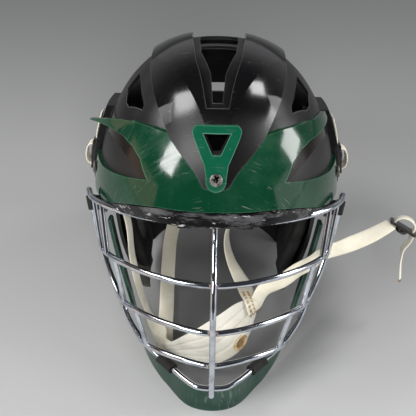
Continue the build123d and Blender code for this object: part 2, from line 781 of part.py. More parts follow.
with BuildPart() as knob_base:
    with BuildSketch(front_plane(knob_seat_back)):
        with Locations((0, knob_height)):
            Circle(knob_seat_radius)
            Circle(knob_shaft_radius + running_gap, mode=Mode.SUBTRACT)
    extrude(amount=bore_length / 4)
    add(over_shell, mode=Mode.SUBTRACT)
write(knob_base.part, "knob_base")

with BuildPart() as fit_knob:
    with BuildSketch(front_plane(knob_seat_back + running_gap)):
        with Locations((0, knob_height)):
            Circle(knob_radius)
            with PolarLocations(knob_radius, knob_grips):
                Circle(knob_depth / 4, mode=Mode.SUBTRACT)
    extrude(amount=-knob_depth)
    with BuildSketch(front_plane(knob_seat_back + running_gap)):
        with Locations((0, knob_height)):
            Circle(knob_shaft_radius)
    extrude(amount=knob_seat_back - cradle_back + 2 * cradle_travel - cradle_socket / 2)
    chamfer(fit_knob.faces().sort_by(Axis.Y)[-1].outer_wire().edges(), knob_depth / 12)
write(fit_knob.part, "fit_knob")

with BuildPart() as nape_cradle:
    with BuildSketch(level_plane(knob_height - cradle_height / 2)):
        with BuildLine():
            arc_in = [(-cradle_half_width, cradle_back - cradle_depth), (0, cradle_back),
                      (cradle_half_width, cradle_back - cradle_depth)]
            arc_out = [(x, y - cradle_thickness) for x, y in reversed(arc_in)]
            ThreePointArc(*arc_in)
            Line(arc_in[2], arc_out[0])
            ThreePointArc(*arc_out)
            Line(arc_out[2], arc_in[0])
        make_face()
    extrude(amount=cradle_height)
    with BuildSketch(front_plane(cradle_back + cradle_socket / 2)):
        with Locations((0, knob_height)):
            Circle(knob_shaft_radius + cradle_thickness)
    extrude(amount=cradle_socket)
    with BuildSketch(front_plane(cradle_back + cradle_socket)):
        with Locations((0, knob_height)):
            Circle(knob_shaft_radius + running_gap)
    extrude(amount=3 * cradle_socket, mode=Mode.SUBTRACT)
write(nape_cradle.part, "nape_cradle")

# Screws: the front screw with its cross recess, and the side screws


def screw(seat, shank, cross_width):
    """Crowned head on a seat, with a shank below and a cross recess above."""
    with BuildPart() as body:
        with BuildSketch(seat):
            Circle(screw_head_radius)
        extrude(amount=screw_head_height)
        fillet(body.faces().sort_by(Axis(seat.origin, seat.z_dir))[-1].edges(), crown_fillet)
        with BuildSketch(seat.offset(screw_head_height / 3)):
            Rectangle(cross_width, screw_head_radius)
            Rectangle(screw_head_radius, cross_width)
        extrude(amount=screw_head_height, mode=Mode.SUBTRACT)
        with BuildSketch(seat):
            Circle(screw_shank_radius)
        extrude(amount=-shank)
    return body.part


seat_gap = 2 * layer_gap
front_shank = trim_thickness + trim_rise + wall
screw_seat = screw_plane.offset(trim_thickness + seat_gap)
write(screw(screw_seat, front_shank, screw_head_height / 2), "front_screw")
for screw_name, shank in (("visor", visor_proud + wall), ("flap", bore_length / 2 - wall)):
    y, z, proud = side_screws[screw_name]
    seats = [surface_plane(y, z, proud, side).offset(seat_gap) for side in (-1, 1)]
    with BuildPart() as side_screw_pair:
        add([screw(seat, shank, screw_head_height / 2) for seat in seats])
    write(side_screw_pair.part, f"{screw_name}_screws")

# Temple buckles: a stud on the side cover, a plate that turns on it, the webbing loop and the strap's tail

buckle_stud_place = (0.192 * shell_front, 1.16 * ear_axis_height)
loop_shares = [
    # place along the plate and out from its seat, as shares of the plate's length
    (0.36, 0.05), (0.36, 0.16), (0.3, 0.27), (0.16, 0.335), (0, 0.35),
    (-0.16, 0.335), (-0.3, 0.27), (-0.36, 0.16), (-0.36, 0.05),
]


def strip_through(points, section_x, width, thickness):
    """Webbing strip through places in space, its width along one direction."""
    with BuildPart() as strip:
        for i, spot in enumerate(points):
            run = (points[min(i + 1, len(points) - 1)] - points[max(i - 1, 0)]).normalized()
            with BuildSketch(Plane(origin=spot, x_dir=section_x, z_dir=run)):
                Rectangle(width, thickness)
        loft()
    return strip.part


for name, side in (("left", -1), ("right", 1)):
    seat = surface_plane(*buckle_stud_place, cover_proud, side).offset(layer_gap)
    with BuildPart() as temple_stud:
        with BuildSketch(seat):
            Circle(stud_head_radius)
        extrude(amount=stud_foot)
        with BuildSketch(seat):
            Circle(stud_radius)
        extrude(amount=stud_foot + buckle_thickness + 2 * layer_gap + stud_head_thickness)
        with BuildSketch(seat.offset(stud_foot + buckle_thickness + 2 * layer_gap)):
            Circle(stud_head_radius)
        extrude(amount=stud_head_thickness)
    write(temple_stud.part, f"temple_stud_{name}")
    with BuildPart() as temple_buckle:
        with BuildSketch(seat.offset(stud_foot + layer_gap)):
            RectangleRounded(buckle_width, buckle_length, buckle_corner)
            Circle(stud_radius + running_gap, mode=Mode.SUBTRACT)
            with Locations((0, loop_shares[0][0] * buckle_length), (0, -loop_shares[0][0] * buckle_length)):
                slot_height = webbing_thickness + webbing_slack
                Rectangle(webbing_width + webbing_slack, slot_height, mode=Mode.SUBTRACT)
        extrude(amount=buckle_thickness)
    write(temple_buckle.part, f"temple_buckle_{name}")
    up = seat.y_dir if seat.y_dir.Z > 0 else -seat.y_dir
    loop_points = [
        seat.origin + (up * along + seat.z_dir * out) * buckle_length for along, out in loop_shares
    ]
    tail_points = []
    for rise in tail_rise_shares:
        y, z = buckle_stud_place[0], buckle_stud_place[1] + rise * buckle_length
        x = surface_x(y, z, cover_proud + webbing_thickness / 2 + tail_gap)
        tail_points.append(at(side * x, y, z))
    with BuildPart() as temple_webbing:
        add(strip_through(loop_points, seat.x_dir, webbing_width, webbing_thickness))
        add(strip_through(tail_points, seat.x_dir, webbing_width, webbing_thickness))
    write(temple_webbing.part, f"temple_webbing_{name}")

# Straps: webbing along stations of a place, a width direction and a share of the webbing's width

strap_stations = {
    "strap_high_left": [
        ((-0.818, -0.354, 1.1), (0.1, 1, -0.1)), ((-0.738, -0.369, 0.95), (0.2, 1, 0)),
        ((-0.698, -0.362, 0.695), (0.25, 1, 0)), ((-0.621, -0.334, 0.434), (0.3, 1, -0.2)),
        ((-0.563, -0.37, 0.341), (0.3, 0.9, -0.3)), ((-0.478, -0.452, 0.281), (0.4, 0.5, 0.4)),
        ((-0.4125, -0.5405, 0.22), (0, 0.1, 1)),
    ],
    "strap_high_right": [
        ((0.821, -0.238, 1.1), (0, 1, 0.1)), ((0.679, -0.185, 1.062), (0.1, 1, 0.1)),
        ((0.5, -0.1, 1.06), (0.2, 1, 0.2)), ((0.34, -0.05, 1), (0.35, 0.9, 0.25)),
        ((0.2, -0.052, 0.88), (0.4, 0.9, 0.1)), ((0.111, -0.062, 0.771), (0.3, 1, 0)),
        ((0.107, -0.075, 0.683), (0.35, 0.94, 0)), ((0.145, -0.11, 0.596), (0.5, 0.85, -0.1)),
        ((0.208, -0.2, 0.54), (0.65, 0.7, 0)), ((0.262, -0.33, 0.522), (0.8, 0.5, 0.1)),
        ((0.29, -0.465, 0.524), (0.8, 0.55, 0)),
    ],
    "strap_rear_left": [
        ((-0.406, 0.8, 0.494), (0.8, 0.6, 0)), ((-0.434, 0.615, 0.431), (0.85, 0.5, 0)),
        ((-0.439, 0.385, 0.365), (0.9, 0.4, 0)), ((-0.434, 0.154, 0.306), (1, 0.2, 0)),
        ((-0.425, -0.077, 0.266), (1, 0, 0)), ((-0.42, -0.3, 0.228), (1, 0, 0)),
        ((-0.418, -0.485, 0.2), (1, 0, 0.1)),
    ],
    "strap_free_inner": [
        ((0.353, -0.513, 0.476), (-0.6, -0.2, 0.8)), ((0.423, -0.469, 0.554), (-0.55, -0.1, 0.85)),
        ((0.573, -0.462, 0.608), (-0.55, -0.1, 0.85)), ((0.7, -0.479, 0.69), (-0.45, -0.1, 0.9)),
        ((0.811, -0.477, 0.736), (-0.35, -0.1, 0.95)), ((0.877, -0.415, 0.747), (-0.3, -0.1, 0.95)),
        ((0.93, -0.358, 0.745), (-0.25, -0.1, 0.95)),
    ],
    "strap_free_outer": [
        ((0.9325, -0.3554, 0.745), (-0.25, -0.1, 0.95)), ((0.948, -0.338, 0.745), (-0.25, -0.1, 0.95)),
        ((0.986, -0.317, 0.747), (-0.27, -0.05, 0.95)), ((1.057, -0.292, 0.753), (-0.3, 0, 0.95)),
        ((1.17, -0.254, 0.769), (-0.35, 0.35, 0.85)), ((1.363, -0.181, 0.802), (-0.35, 0.7, 0.6)),
        ((1.533, -0.104, 0.8405), (-0.35, 0.85, 0.3)),
    ],
}
for name, stations in strap_stations.items():
    full = [(share, across, 1) for share, across in stations]
    write(band(full, webbing_width, webbing_thickness, ruled=True), name)

# Snap posts that carry the straps' ends

for strap_name, side in (("left", -1), ("right", 1)):
    share, _ = strap_stations[f"strap_high_{strap_name}"][0]
    y, z = share[1] * shell_front, share[2] * ear_axis_height
    foot_x = surface_x(y, z, -wall)
    with BuildPart() as strap_post:
        with BuildSketch(side_plane(side * foot_x)):
            with Locations((y, z)):
                Circle(snap_radius)
        extrude(amount=-side * snap_foot)
        with BuildSketch(side_plane(side * foot_x)):
            with Locations((y, z)):
                Circle(stud_radius)
        extrude(amount=-side * (foot_x - abs(share[0]) * half_width - webbing_thickness))
        add(inside_shell, mode=Mode.INTERSECT)
    write(strap_post.part, f"strap_post_{strap_name}")

rear_share, _ = strap_stations["strap_rear_left"][0]
rear_spot = Vector(rear_share[0] * half_width, rear_share[1] * shell_front, rear_share[2] * ear_axis_height)
with BuildPart() as rear_snap:
    with BuildSketch(front_plane(rear_spot.Y + snap_gap)):
        with Locations((rear_spot.X, rear_spot.Z + rear_snap_rise)):
            Circle(snap_radius)
    extrude(amount=-snap_foot)
    with BuildSketch(front_plane(rear_spot.Y + snap_gap)):
        with Locations((rear_spot.X, rear_spot.Z + rear_snap_rise)):
            Circle(stud_radius)
    extrude(amount=-shell_back)
    add(inside_shell, mode=Mode.INTERSECT)
write(rear_snap.part, "rear_snap")

# Chin cup: a crowned cushion with three sewn channels along it, and an oval eyelet at its lower corner

cup_stations = [
    # place, width direction, then the shares of the cup's width and thickness
    ((-0.404, -0.554, 0.197), (-0.07, -0.19, 0.98), 0.26, 0.36),
    ((-0.311, -0.592, 0.214), (-0.1, -0.11, 0.99), 0.43, 0.56),
    ((-0.198, -0.635, 0.242), (-0.13, -0.07, 0.99), 0.67, 0.85),
    ((-0.04, -0.685, 0.288), (-0.21, -0.05, 0.98), 0.97, 1),
    ((0.122, -0.662, 0.353), (-0.26, -0.04, 0.97), 1.07, 1),
    ((0.248, -0.577, 0.416), (-0.21, -0.05, 0.98), 0.92, 0.83),
    ((0.333, -0.492, 0.458), (-0.31, -0.1, 0.94), 0.46, 0.44),
]
cup_across_shares = (-0.97, -0.75, -0.5, -0.25, 0, 0.25, 0.5, 0.75, 0.97)
channel_depth_share = 0.2
cup_edge_power = 2.6
eyelet_stations = (4, 5)
eyelet_along_share = 0.25


def cup_half(across):
    """Half thickness of the cup at a share of its half width, dipped at the three channels."""
    crown = (1 - abs(across) ** cup_edge_power) ** 0.6
    return crown * (1 - channel_depth_share * (across in (-0.5, 0, 0.5)))


with BuildPart() as chin_cup:
    cup_planes = station_planes(cup_stations)
    for cup_plane, (_, _, width_share, depth_share) in zip(cup_planes, cup_stations):
        half_wide, half_deep = cup_width * width_share / 2, cup_thickness * depth_share / 2
        upper = [(u * half_wide, cup_half(u) * half_deep) for u in cup_across_shares]
        lower = [(u, -v) for u, v in reversed(upper)]
        with BuildSketch(cup_plane):
            with BuildLine():
                Spline(*upper)
                Line(upper[-1], lower[0])
                Spline(*lower)
                Line(lower[-1], upper[0])
            make_face()
    loft(ruled=True)
    eyelet_corners = [
        cup_planes[i].from_local_coords((-eyelet_inset_share * cup_width, 0, 0)) for i in eyelet_stations
    ]
    eyelet_run = eyelet_corners[1] - eyelet_corners[0]
    eyelet_out = cup_planes[eyelet_stations[0]].y_dir + cup_planes[eyelet_stations[1]].y_dir
    eyelet_out = eyelet_out - eyelet_run * (eyelet_out.dot(eyelet_run) / eyelet_run.dot(eyelet_run))
    eyelet_middle = eyelet_corners[0] + eyelet_run * eyelet_along_share
    eyelet_plane = Plane(origin=eyelet_middle, x_dir=eyelet_run, z_dir=eyelet_out)
    with BuildSketch(eyelet_plane.offset(-cup_thickness)):
        Ellipse(eyelet_length / 2, eyelet_width / 2)
    extrude(amount=2 * cup_thickness, mode=Mode.SUBTRACT)
write(chin_cup.part, "chin_cup")

with BuildPart() as cup_eyelet:
    with BuildSketch(eyelet_plane.offset(-eyelet_depth / 2)):
        Ellipse(eyelet_length / 2 - running_gap, eyelet_width / 2 - running_gap)
        Ellipse(eyelet_length / 2 - eyelet_wall, eyelet_width / 2 - eyelet_wall, mode=Mode.SUBTRACT)
    extrude(amount=eyelet_depth)
write(cup_eyelet.part, "cup_eyelet")

# Free buckle at the end of the free strap: ladder plate, snap dome, loop and hanging tail

free_plate_place = (1.651, -0.069, 0.811)
free_plane = Plane(
    origin=place(free_plate_place), x_dir=toward(0.87, -0.203, -0.457), z_dir=toward(0.5, 0.126, 0.897)
)
free_slot = 0.35 * free_plate_length

with BuildPart() as free_buckle:
    with BuildSketch(free_plane.offset(-buckle_thickness / 2)):
        RectangleRounded(free_plate_length, free_plate_width, buckle_corner)
        with Locations((-free_slot, 0), (free_slot, 0)):
            Rectangle(webbing_thickness + webbing_slack, webbing_width + webbing_slack, mode=Mode.SUBTRACT)
    extrude(amount=buckle_thickness)
write(free_buckle.part, "free_buckle")

with BuildPart() as free_snap:
    with BuildSketch(free_plane.offset(-buckle_thickness / 2 - layer_gap)):
        Circle(snap_radius)
    extrude(amount=-snap_height)
    snap_top = free_snap.faces().sort_by(Axis(free_plane.origin, -free_plane.z_dir))[-1]
    fillet(snap_top.edges(), 0.7 * snap_height)
write(free_snap.part, "free_snap")

free_loop_shares = [
    (-0.35, 0.02), (-0.34, 0.13), (-0.26, 0.25), (-0.1, 0.34), (0.1, 0.36), (0.27, 0.29), (0.35, 0.15),
    (0.35, 0.02),
]
free_loop_points = [free_plane.from_local_coords((u * free_plate_length, 0, w * free_plate_length))
                    for u, w in free_loop_shares]

free_tail_stations = [
    ((1.737, -0.074, 0.7608), (-0.1, 1, -0.4)), ((1.704, -0.089, 0.722), (-0.1, 1, -0.3)),
    ((1.662, -0.101, 0.687), (0, 1, -0.2)), ((1.648, -0.12, 0.63), (0.15, 1, -0.2)),
    ((1.647, -0.162, 0.512), (0.25, 1, -0.25)),
]
full = [(share, across, 1) for share, across in free_tail_stations]
with BuildPart() as free_webbing:
    add(strip_through(free_loop_points, free_plane.y_dir, webbing_width, webbing_thickness))
    add(band(full, webbing_width, webbing_thickness, ruled=True))
write(free_webbing.part, "free_webbing")
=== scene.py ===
# %% [markdown]
# # A used field lacrosse helmet, looked down on from the front
#
# The helmet stands on a plain floor, leaning back on its chin guard and the rear corners of its shell.
# The hard parts (shell, visor, wires, screws, buckles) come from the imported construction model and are
# only given their finishes here. The soft parts (webbing, chin cup, foam) are modelled here as curved
# surfaces, because a solid made for weight and collision has no weave, stitches or swell. Everything is
# in metres, +Z up, and the front of the helmet faces -Y.

import math

import bmesh
import bpy
import numpy as np
from mathutils import Matrix, Vector


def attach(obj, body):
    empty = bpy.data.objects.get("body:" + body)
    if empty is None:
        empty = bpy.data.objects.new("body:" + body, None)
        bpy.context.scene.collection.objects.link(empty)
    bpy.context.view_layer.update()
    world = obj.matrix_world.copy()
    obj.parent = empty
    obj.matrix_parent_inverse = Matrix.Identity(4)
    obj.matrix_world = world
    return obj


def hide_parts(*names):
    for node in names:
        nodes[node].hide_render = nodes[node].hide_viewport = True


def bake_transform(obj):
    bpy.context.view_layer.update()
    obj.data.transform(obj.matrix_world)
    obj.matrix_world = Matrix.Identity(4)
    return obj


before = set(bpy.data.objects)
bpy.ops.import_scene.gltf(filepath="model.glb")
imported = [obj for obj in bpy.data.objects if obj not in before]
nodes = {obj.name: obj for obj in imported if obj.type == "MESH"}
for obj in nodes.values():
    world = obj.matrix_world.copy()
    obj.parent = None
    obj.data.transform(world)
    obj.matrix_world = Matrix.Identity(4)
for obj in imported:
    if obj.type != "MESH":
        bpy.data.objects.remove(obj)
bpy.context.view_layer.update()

# %% [markdown]
# ## Two ways the helmet is held
#
# A helmet is easiest to describe as it is worn, level on the head. On the floor it leans back, because
# the chin guard is lower in front than the rear corners are behind. All shapes below are written in the
# worn frame, in shares of the shell's half width, its forward reach and the height of the ear axis, and
# one turn sets them down.

# %% The worn frame and how it is set down
HALF_WIDTH, FRONT_REACH, EAR_HEIGHT = 0.106, 0.130, 0.160
SHARES = np.array([HALF_WIDTH, FRONT_REACH, EAR_HEIGHT])
CHIN_FOOT = np.array([-0.128, 0.004])
REAR_FOOT = np.array([0.092, 0.066])
lean = math.atan2(*(REAR_FOOT - CHIN_FOOT)[::-1])
WORN_REAR = np.array([0.0, math.cos(lean), -math.sin(lean)])
WORN_UP = np.array([0.0, math.sin(lean), math.cos(lean)])
foot_middle = (CHIN_FOOT + REAR_FOOT) / 2
REST_ORIGIN = -WORN_REAR * foot_middle[0] - WORN_UP * foot_middle[1]
TURN = np.stack([np.array([1.0, 0.0, 0.0]), WORN_REAR, WORN_UP])


def set_down(places):
    """Worn places on the floor: origin + x across + y to the rear + z up, along the leaned directions."""
    return REST_ORIGIN + np.asarray(places, float) @ TURN


def set_down_direction(directions):
    """Worn directions turned by the same lean and made unit length."""
    turned = np.asarray(directions, float) @ TURN
    return turned / np.linalg.norm(turned, axis=-1, keepdims=True)


print(f"the helmet leans back by {math.degrees(lean):.1f} degrees")

# %% [markdown]
# ## Adding to the scene
#
# The camera, the lamps, the floor and every soft piece come into the scene in the same way, so one small
# function does it.

# %% Adding to the scene


def placed(name, data):
    """A new object of this data, linked to the scene."""
    made = bpy.data.objects.new(name, data)
    bpy.context.scene.collection.objects.link(made)
    return made


# %% [markdown]
# ## Camera
#
# The photograph looks down at the mask from about 40 degrees, through a long lens, with the helmet
# upright and in the middle of the frame. A camera could be placed by eye; here its distance, height and
# roll were fitted to the edges of the parts, so each part can be compared with the photograph where it
# is.

# %% Camera
FRAME_PIXELS = 416
FOCAL_PIXELS = 985
camera_data = bpy.data.cameras.new("camera")
camera_data.sensor_width = 36.0
camera_data.lens = FOCAL_PIXELS / FRAME_PIXELS * camera_data.sensor_width
camera = placed("camera", camera_data)
camera_place = Vector((0.0, -0.6628, 0.6866))
aim = Vector((-0.0068, 0.0293, 0.1112))
ROLL = math.radians(0.9)
look = (aim - camera_place).normalized()
level_right = look.cross(Vector((0, 0, 1))).normalized()
level_up = level_right.cross(look)
right = level_right * math.cos(ROLL) + level_up * math.sin(ROLL)
up = level_up * math.cos(ROLL) - level_right * math.sin(ROLL)
camera.matrix_world = Matrix.Translation(camera_place) @ Matrix((right, up, -look)).transposed().to_4x4()
bpy.context.scene.camera = camera
bpy.context.scene.view_settings.view_transform = "Standard"
print(f"camera {camera_data.lens:.1f} mm, {(aim - camera_place).length:.2f} m away")

# %% [markdown]
# ## Shader maths in Python
#
# A finish is a small network of nodes. Drawn by hand it is hard to read, so it is written as Python here.
# A Signal is one output of the network, and + - * / on it add Math nodes.

# %% Signal


class Signal:
    """One output of a node tree. Arithmetic on it adds Math nodes."""

    def __init__(self, web, socket):
        self.web, self.socket = web, socket

    def _math(self, operation, first, second):
        return self.web.node("Math", {"operation": operation}, {0: first, 1: second})

    def __add__(self, other):
        return self._math("ADD", self, other)

    def __radd__(self, other):
        return self._math("ADD", other, self)

    def __sub__(self, other):
        return self._math("SUBTRACT", self, other)

    def __rsub__(self, other):
        return self._math("SUBTRACT", other, self)

    def __mul__(self, other):
        return self._math("MULTIPLY", self, other)

    def __rmul__(self, other):
        return self._math("MULTIPLY", other, self)

    def __truediv__(self, other):
        return self._math("DIVIDE", self, other)

    def __rtruediv__(self, other):
        return self._math("DIVIDE", other, self)

    def __abs__(self):
        return self._math("ABSOLUTE", self, 0.0)

    def sine(self):
        return self._math("SINE", self, 0.0)

    def most(self, other):
        return self._math("MAXIMUM", self, other)

    def between(self, low, high):
        """Smooth step: 0 below low, 1 above high (or falling, where low is above high)."""
        settings = {"interpolation_type": "SMOOTHSTEP"}
        if low < high:
            return self.web.node("MapRange", settings, {"Value": self, "From Min": low, "From Max": high})
        return 1 - self.web.node("MapRange", settings, {"Value": self, "From Min": high, "From Max": low})


print("signals ready")

# %% [markdown]
# A NodeWeb holds a tree and the one method that makes any node in it. The room's light is a tree too, so
# a Finish is only a NodeWeb that belongs to a material and knows its shader.

# %% NodeWeb and Finish


class NodeWeb:
    """A node tree, and one method that makes any node of it."""

    def __init__(self, tree):
        self.tree = tree

    def node(self, kind, settings=None, values=None, out=0):
        """A node of this kind: settings first, then the values or links of its sockets."""
        made = self.tree.nodes.new("ShaderNode" + kind)
        for key, value in (settings or {}).items():
            setattr(made, key, value)
        for key, value in (values or {}).items():
            if isinstance(value, Signal):
                self.tree.links.new(value.socket, made.inputs[key])
            elif value is not None:
                made.inputs[key].default_value = value
        return Signal(self, made.outputs[out])

    def mix(self, share, first, second):
        """Colour between two colours."""
        return self.node("Mix", {"data_type": "RGBA"}, {0: share, 6: first, 7: second}, out=2)

    def part(self, vector, axis):
        """One of a vector's three numbers."""
        return self.node("SeparateXYZ", {}, {0: vector}, out=axis)


class Finish(NodeWeb):
    """A material: its plain shader, fed by signals."""

    def __init__(self, name, **constants):
        self.material = bpy.data.materials.new(name)
        self.material.use_nodes = True
        super().__init__(self.material.node_tree)
        self.shader = self.tree.nodes["Principled BSDF"]
        for socket, value in constants.items():
            self.shader.inputs[socket.replace("_", " ")].default_value = value

    def feed(self, socket, signal):
        """Let a signal vary one of the shader's sockets over the surface."""
        self.tree.links.new(signal.socket, self.shader.inputs[socket])

    def places(self, scale=(1, 1, 1), turn=(0, 0, 0)):
        """Object coordinates, stretched and turned."""
        plain = self.node("TexCoord", out="Object")
        return self.node("Mapping", {}, {"Vector": plain, "Scale": scale, "Rotation": turn})

    def noise(self, scale, detail=4.0, stretch=(1, 1, 1), turn=(0, 0, 0), rough=0.55):
        """Cloudy noise of so many lumps to the metre."""
        spots = {"Vector": self.places(stretch, turn), "Scale": scale, "Detail": detail, "Roughness": rough}
        return self.node("TexNoise", {}, spots)

    def bump(self, height, strength, distance=0.0002, under=None):
        """Feed the shader's normal from a height, in shares of distance, on top of a coarser bump."""
        settings = {"Height": height, "Strength": strength, "Distance": distance, "Normal": under}
        made = self.node("Bump", {}, settings)
        self.feed("Normal", made)
        return made

    def plane(self, direction, offset, mirrored=False):
        """Distance in metres in front of a plane; mirrored makes it the same on both sides of the helmet."""
        place = self.node("TexCoord", out="Object")
        x, y, z = (self.part(place, axis) for axis in range(3))
        across = abs(x) if mirrored else x
        return across * float(direction[0]) + y * float(direction[1]) + z * float(direction[2]) - offset

    def edges(self, radius, sharp=0.12):
        """1 along sharp edges: where a normal rounded over the radius leaves the true one."""
        rounded = self.node("Bevel", {"samples": 4}, {"Radius": radius})
        true = self.node("NewGeometry", out="Normal")
        alike = self.node("VectorMath", {"operation": "DOT_PRODUCT"}, {0: rounded, 1: true}, out="Value")
        return (1 - alike).between(0.015, sharp)


print("finishes ready")

# %% [markdown]
# Colours are easiest to read as screen values from 0 to 255, as a paint program shows them. The renderer
# counts light instead, so each value is turned back through the screen's curve.

# %% Tones


def tone(red, green, blue):
    """A colour written as screen values from 0 to 255, turned into the renderer's linear values."""
    screen = np.array([red, green, blue]) / 255.0
    linear = np.where(screen <= 0.04045, screen / 12.92, ((screen + 0.055) / 1.055) ** 2.4)
    return (*linear.tolist(), 1.0)


print("tone 128 is", round(tone(128, 128, 128)[0], 3), "of the light")

# %% [markdown]
# ## Scratches and scuffs
#
# A helmet that has been played in is covered with fine scratches that run in a few directions, and with
# dull patches where it rubbed. A scratch could be drawn as an image; here it is noise stretched thirty
# times along one direction and cut off high, so only thin streaks are left, and three turned copies cross
# each other.

# %% Scratches
SCRATCH_TURNS = ((0.3, 0.2, 0.4), (1.2, 0.5, -0.7), (0.1, 1.3, 1.9))


def scratches(finish, scale, cut, soft=0.04):
    """Mask of fine streaks: the largest of three stretched noises, each above its cut, in loose patches."""
    total = None
    for turn in SCRATCH_TURNS:
        streak = finish.noise(scale, 2.0, stretch=(1, 30, 1), turn=turn).between(cut, cut + soft)
        total = streak if total is None else total.most(streak)
    return total * finish.noise(17, 3.0).between(0.4, 0.66)


def worn_plastic(
    name, colour, haze_colour, gloss, haze_gloss,
    haze=0.5, scratch=0.7, coat=0.0, grain=0.0, ripple=0.0, edge=None,
):
    """Moulded plastic: a colour with hazy rubbed patches, fine light scratches and a faint moulded grain.

    Ripple is how far the sheet waves; edge is the colour painted along its sharp corners, a painted edge
    highlight mixed with rubbed wear."""
    finish = Finish(name, Coat_Weight=coat, Coat_Roughness=0.06, IOR=1.5)
    rubbed = finish.noise(26, 6.0, rough=0.6).between(0.45, 0.75) * haze
    fine = scratches(finish, 55, scratch)
    specks = finish.noise(420, 2.0).between(0.7, 0.74) * finish.noise(30, 2.0).between(0.5, 0.65)
    body = finish.mix(rubbed, colour, haze_colour)
    if edge:
        # Painted edge highlight: a lighter colour along sharp corners, in patches, stands for light caught on
        # rounded edges and for rubbed wear.
        body = finish.mix(finish.edges(0.0011) * (finish.noise(60, 4.0) * 0.5 + 0.35), body, edge)
    finish.feed("Base Color", finish.mix((fine * 0.4).most(specks * 0.35), body, tone(140, 142, 140)))
    finish.feed("Roughness", gloss + rubbed * (haze_gloss - gloss) + fine * 0.2)
    wave = finish.noise(100, 2.0, stretch=(1.3, 0.4, 0.4)) * ripple
    cells = finish.noise(1500, 2.0) * grain + finish.noise(14, 2.0) * 0.6 - fine * 0.3 + wave
    finish.cells = cells
    finish.bump(cells, 0.25)
    return finish


def dress(names, finish):
    """Put a finish on carried-over solids."""
    for name in names:
        nodes[name].data.materials.clear()
        nodes[name].data.materials.append(finish.material)


print("one recipe for all plastics")

# %% [markdown]
# ## Plastics of the shell, the visor and the flaps
#
# The shell is satin black polycarbonate, the front panel is the same black polished, and the visor and trim
# are green. One recipe serves them all, with its own colour, gloss and wear for each, and a painted edge
# highlight, mixed with rubbed wear, along the sharp corners.

# %% Plastics
# The edge colours below are painted edge highlights mixed with rubbed wear.
EDGE_HIGHLIGHT_AND_WEAR_BLACK = tone(92, 92, 92)
satin_shell = worn_plastic(
    "shell_satin_black", tone(17, 17, 18), tone(44, 44, 45), 0.34, 0.5, grain=0.5, edge=EDGE_HIGHLIGHT_AND_WEAR_BLACK
)
gloss_panel = worn_plastic(
    "panel_gloss_black", tone(10, 10, 11), tone(28, 28, 29), 0.12, 0.28, haze=0.4, coat=0.3, ripple=0.5,
    edge=EDGE_HIGHLIGHT_AND_WEAR_BLACK,
)
pocket_dull = worn_plastic("pocket_dull_black", tone(18, 18, 19), tone(31, 30, 30), 0.42, 0.55, grain=0.7)
flap_black = worn_plastic("flap_black", tone(13, 13, 13), tone(28, 27, 26), 0.32, 0.5, grain=0.4)
visor_green = worn_plastic(
    "visor_gloss_green", tone(5, 52, 32), tone(36, 74, 53), 0.13, 0.3, haze=0.6, coat=0.35, ripple=1.6,
    edge=tone(70, 120, 92),
)
trim_green = worn_plastic(
    "trim_bright_green", tone(5, 76, 53), tone(22, 90, 67), 0.2, 0.4, haze=0.4, coat=0.3,
    edge=tone(120, 170, 148),
)
guard_green = worn_plastic(
    "guard_green", tone(12, 52, 40), tone(60, 84, 75), 0.3, 0.5, haze=0.6, scratch=0.62,
    edge=tone(110, 136, 126),
)
fit_black = worn_plastic("fit_black", tone(18, 18, 19), tone(36, 36, 37), 0.45, 0.6, grain=0.8)

# %% [markdown]
# The panel is not one smooth dome: a crease runs from each ridge down to the point, and outside it the
# surface falls away by fourteen degrees more. The solid is smooth there, so the crease is a coarse bump:
# a height that drops with the distance outside a line drawn on the plan. The panel's point has been
# rubbed duller.

# %% Crease of the panel
CREASE_FROM, CREASE_TO = np.array([0.046, -0.031]), np.array([0.017, -0.086])
CREASE_FALL = math.tan(math.radians(14))
crease_run = (CREASE_TO - CREASE_FROM) / np.linalg.norm(CREASE_TO - CREASE_FROM)
crease_side = np.array([-crease_run[1], crease_run[0]])
crease_normal = crease_side[0] * TURN[0] + crease_side[1] * WORN_REAR
crease_offset = crease_side @ CREASE_FROM + crease_side[1] * (WORN_REAR @ REST_ORIGIN)
outside = gloss_panel.plane(crease_normal, crease_offset, mirrored=True)
crease = gloss_panel.bump(outside.most(0.0) * -CREASE_FALL, 1.0, 1.0)
gloss_panel.bump(gloss_panel.cells, 0.25, under=crease)
POINT_START, POINT_SOFT = 0.092, 0.008
past_start = gloss_panel.plane(-WORN_REAR, POINT_START - WORN_REAR @ REST_ORIGIN)
toward_point = past_start.between(-POINT_SOFT, POINT_SOFT)
gloss_panel.feed("Roughness", 0.08 + gloss_panel.noise(30, 4.0) * 0.09 + toward_point * 0.26)
gloss_panel.feed("Coat Weight", 0.3 - toward_point * 0.3)
print("crease falls by", round(CREASE_FALL, 3))

# %% [markdown]
# The pockets have a crease too, between a dull lower face and a shiny upper one. The crease is straight
# in both views, so one tilted plane through it tells the two faces apart.

# %% Crease of the pockets
POCKET_PLANE, POCKET_OFFSET, POCKET_SOFT = (-0.797, 0.417, 0.435), 0.0226, 0.0006
upper = pocket_dull.plane(POCKET_PLANE, POCKET_OFFSET, mirrored=True).between(-POCKET_SOFT, POCKET_SOFT)
pocket_gloss = pocket_dull.noise(60, 4.0) * 0.06 + 0.14
pocket_dull.feed("Roughness", 0.44 - upper * (0.44 - pocket_gloss))
dull = pocket_dull.mix(pocket_dull.noise(40, 5.0), tone(18, 18, 19), tone(31, 30, 30))
pocket_dull.feed("Base Color", pocket_dull.mix(upper, dull, tone(26, 21, 18)))
print("pockets creased")

# %% [markdown]
# Years of wiping have left the visor with broad soft streaks, and a highlight breaks up along them. They
# are the same stretched noise as the scratches, only coarser, and they change the gloss, not the colour.

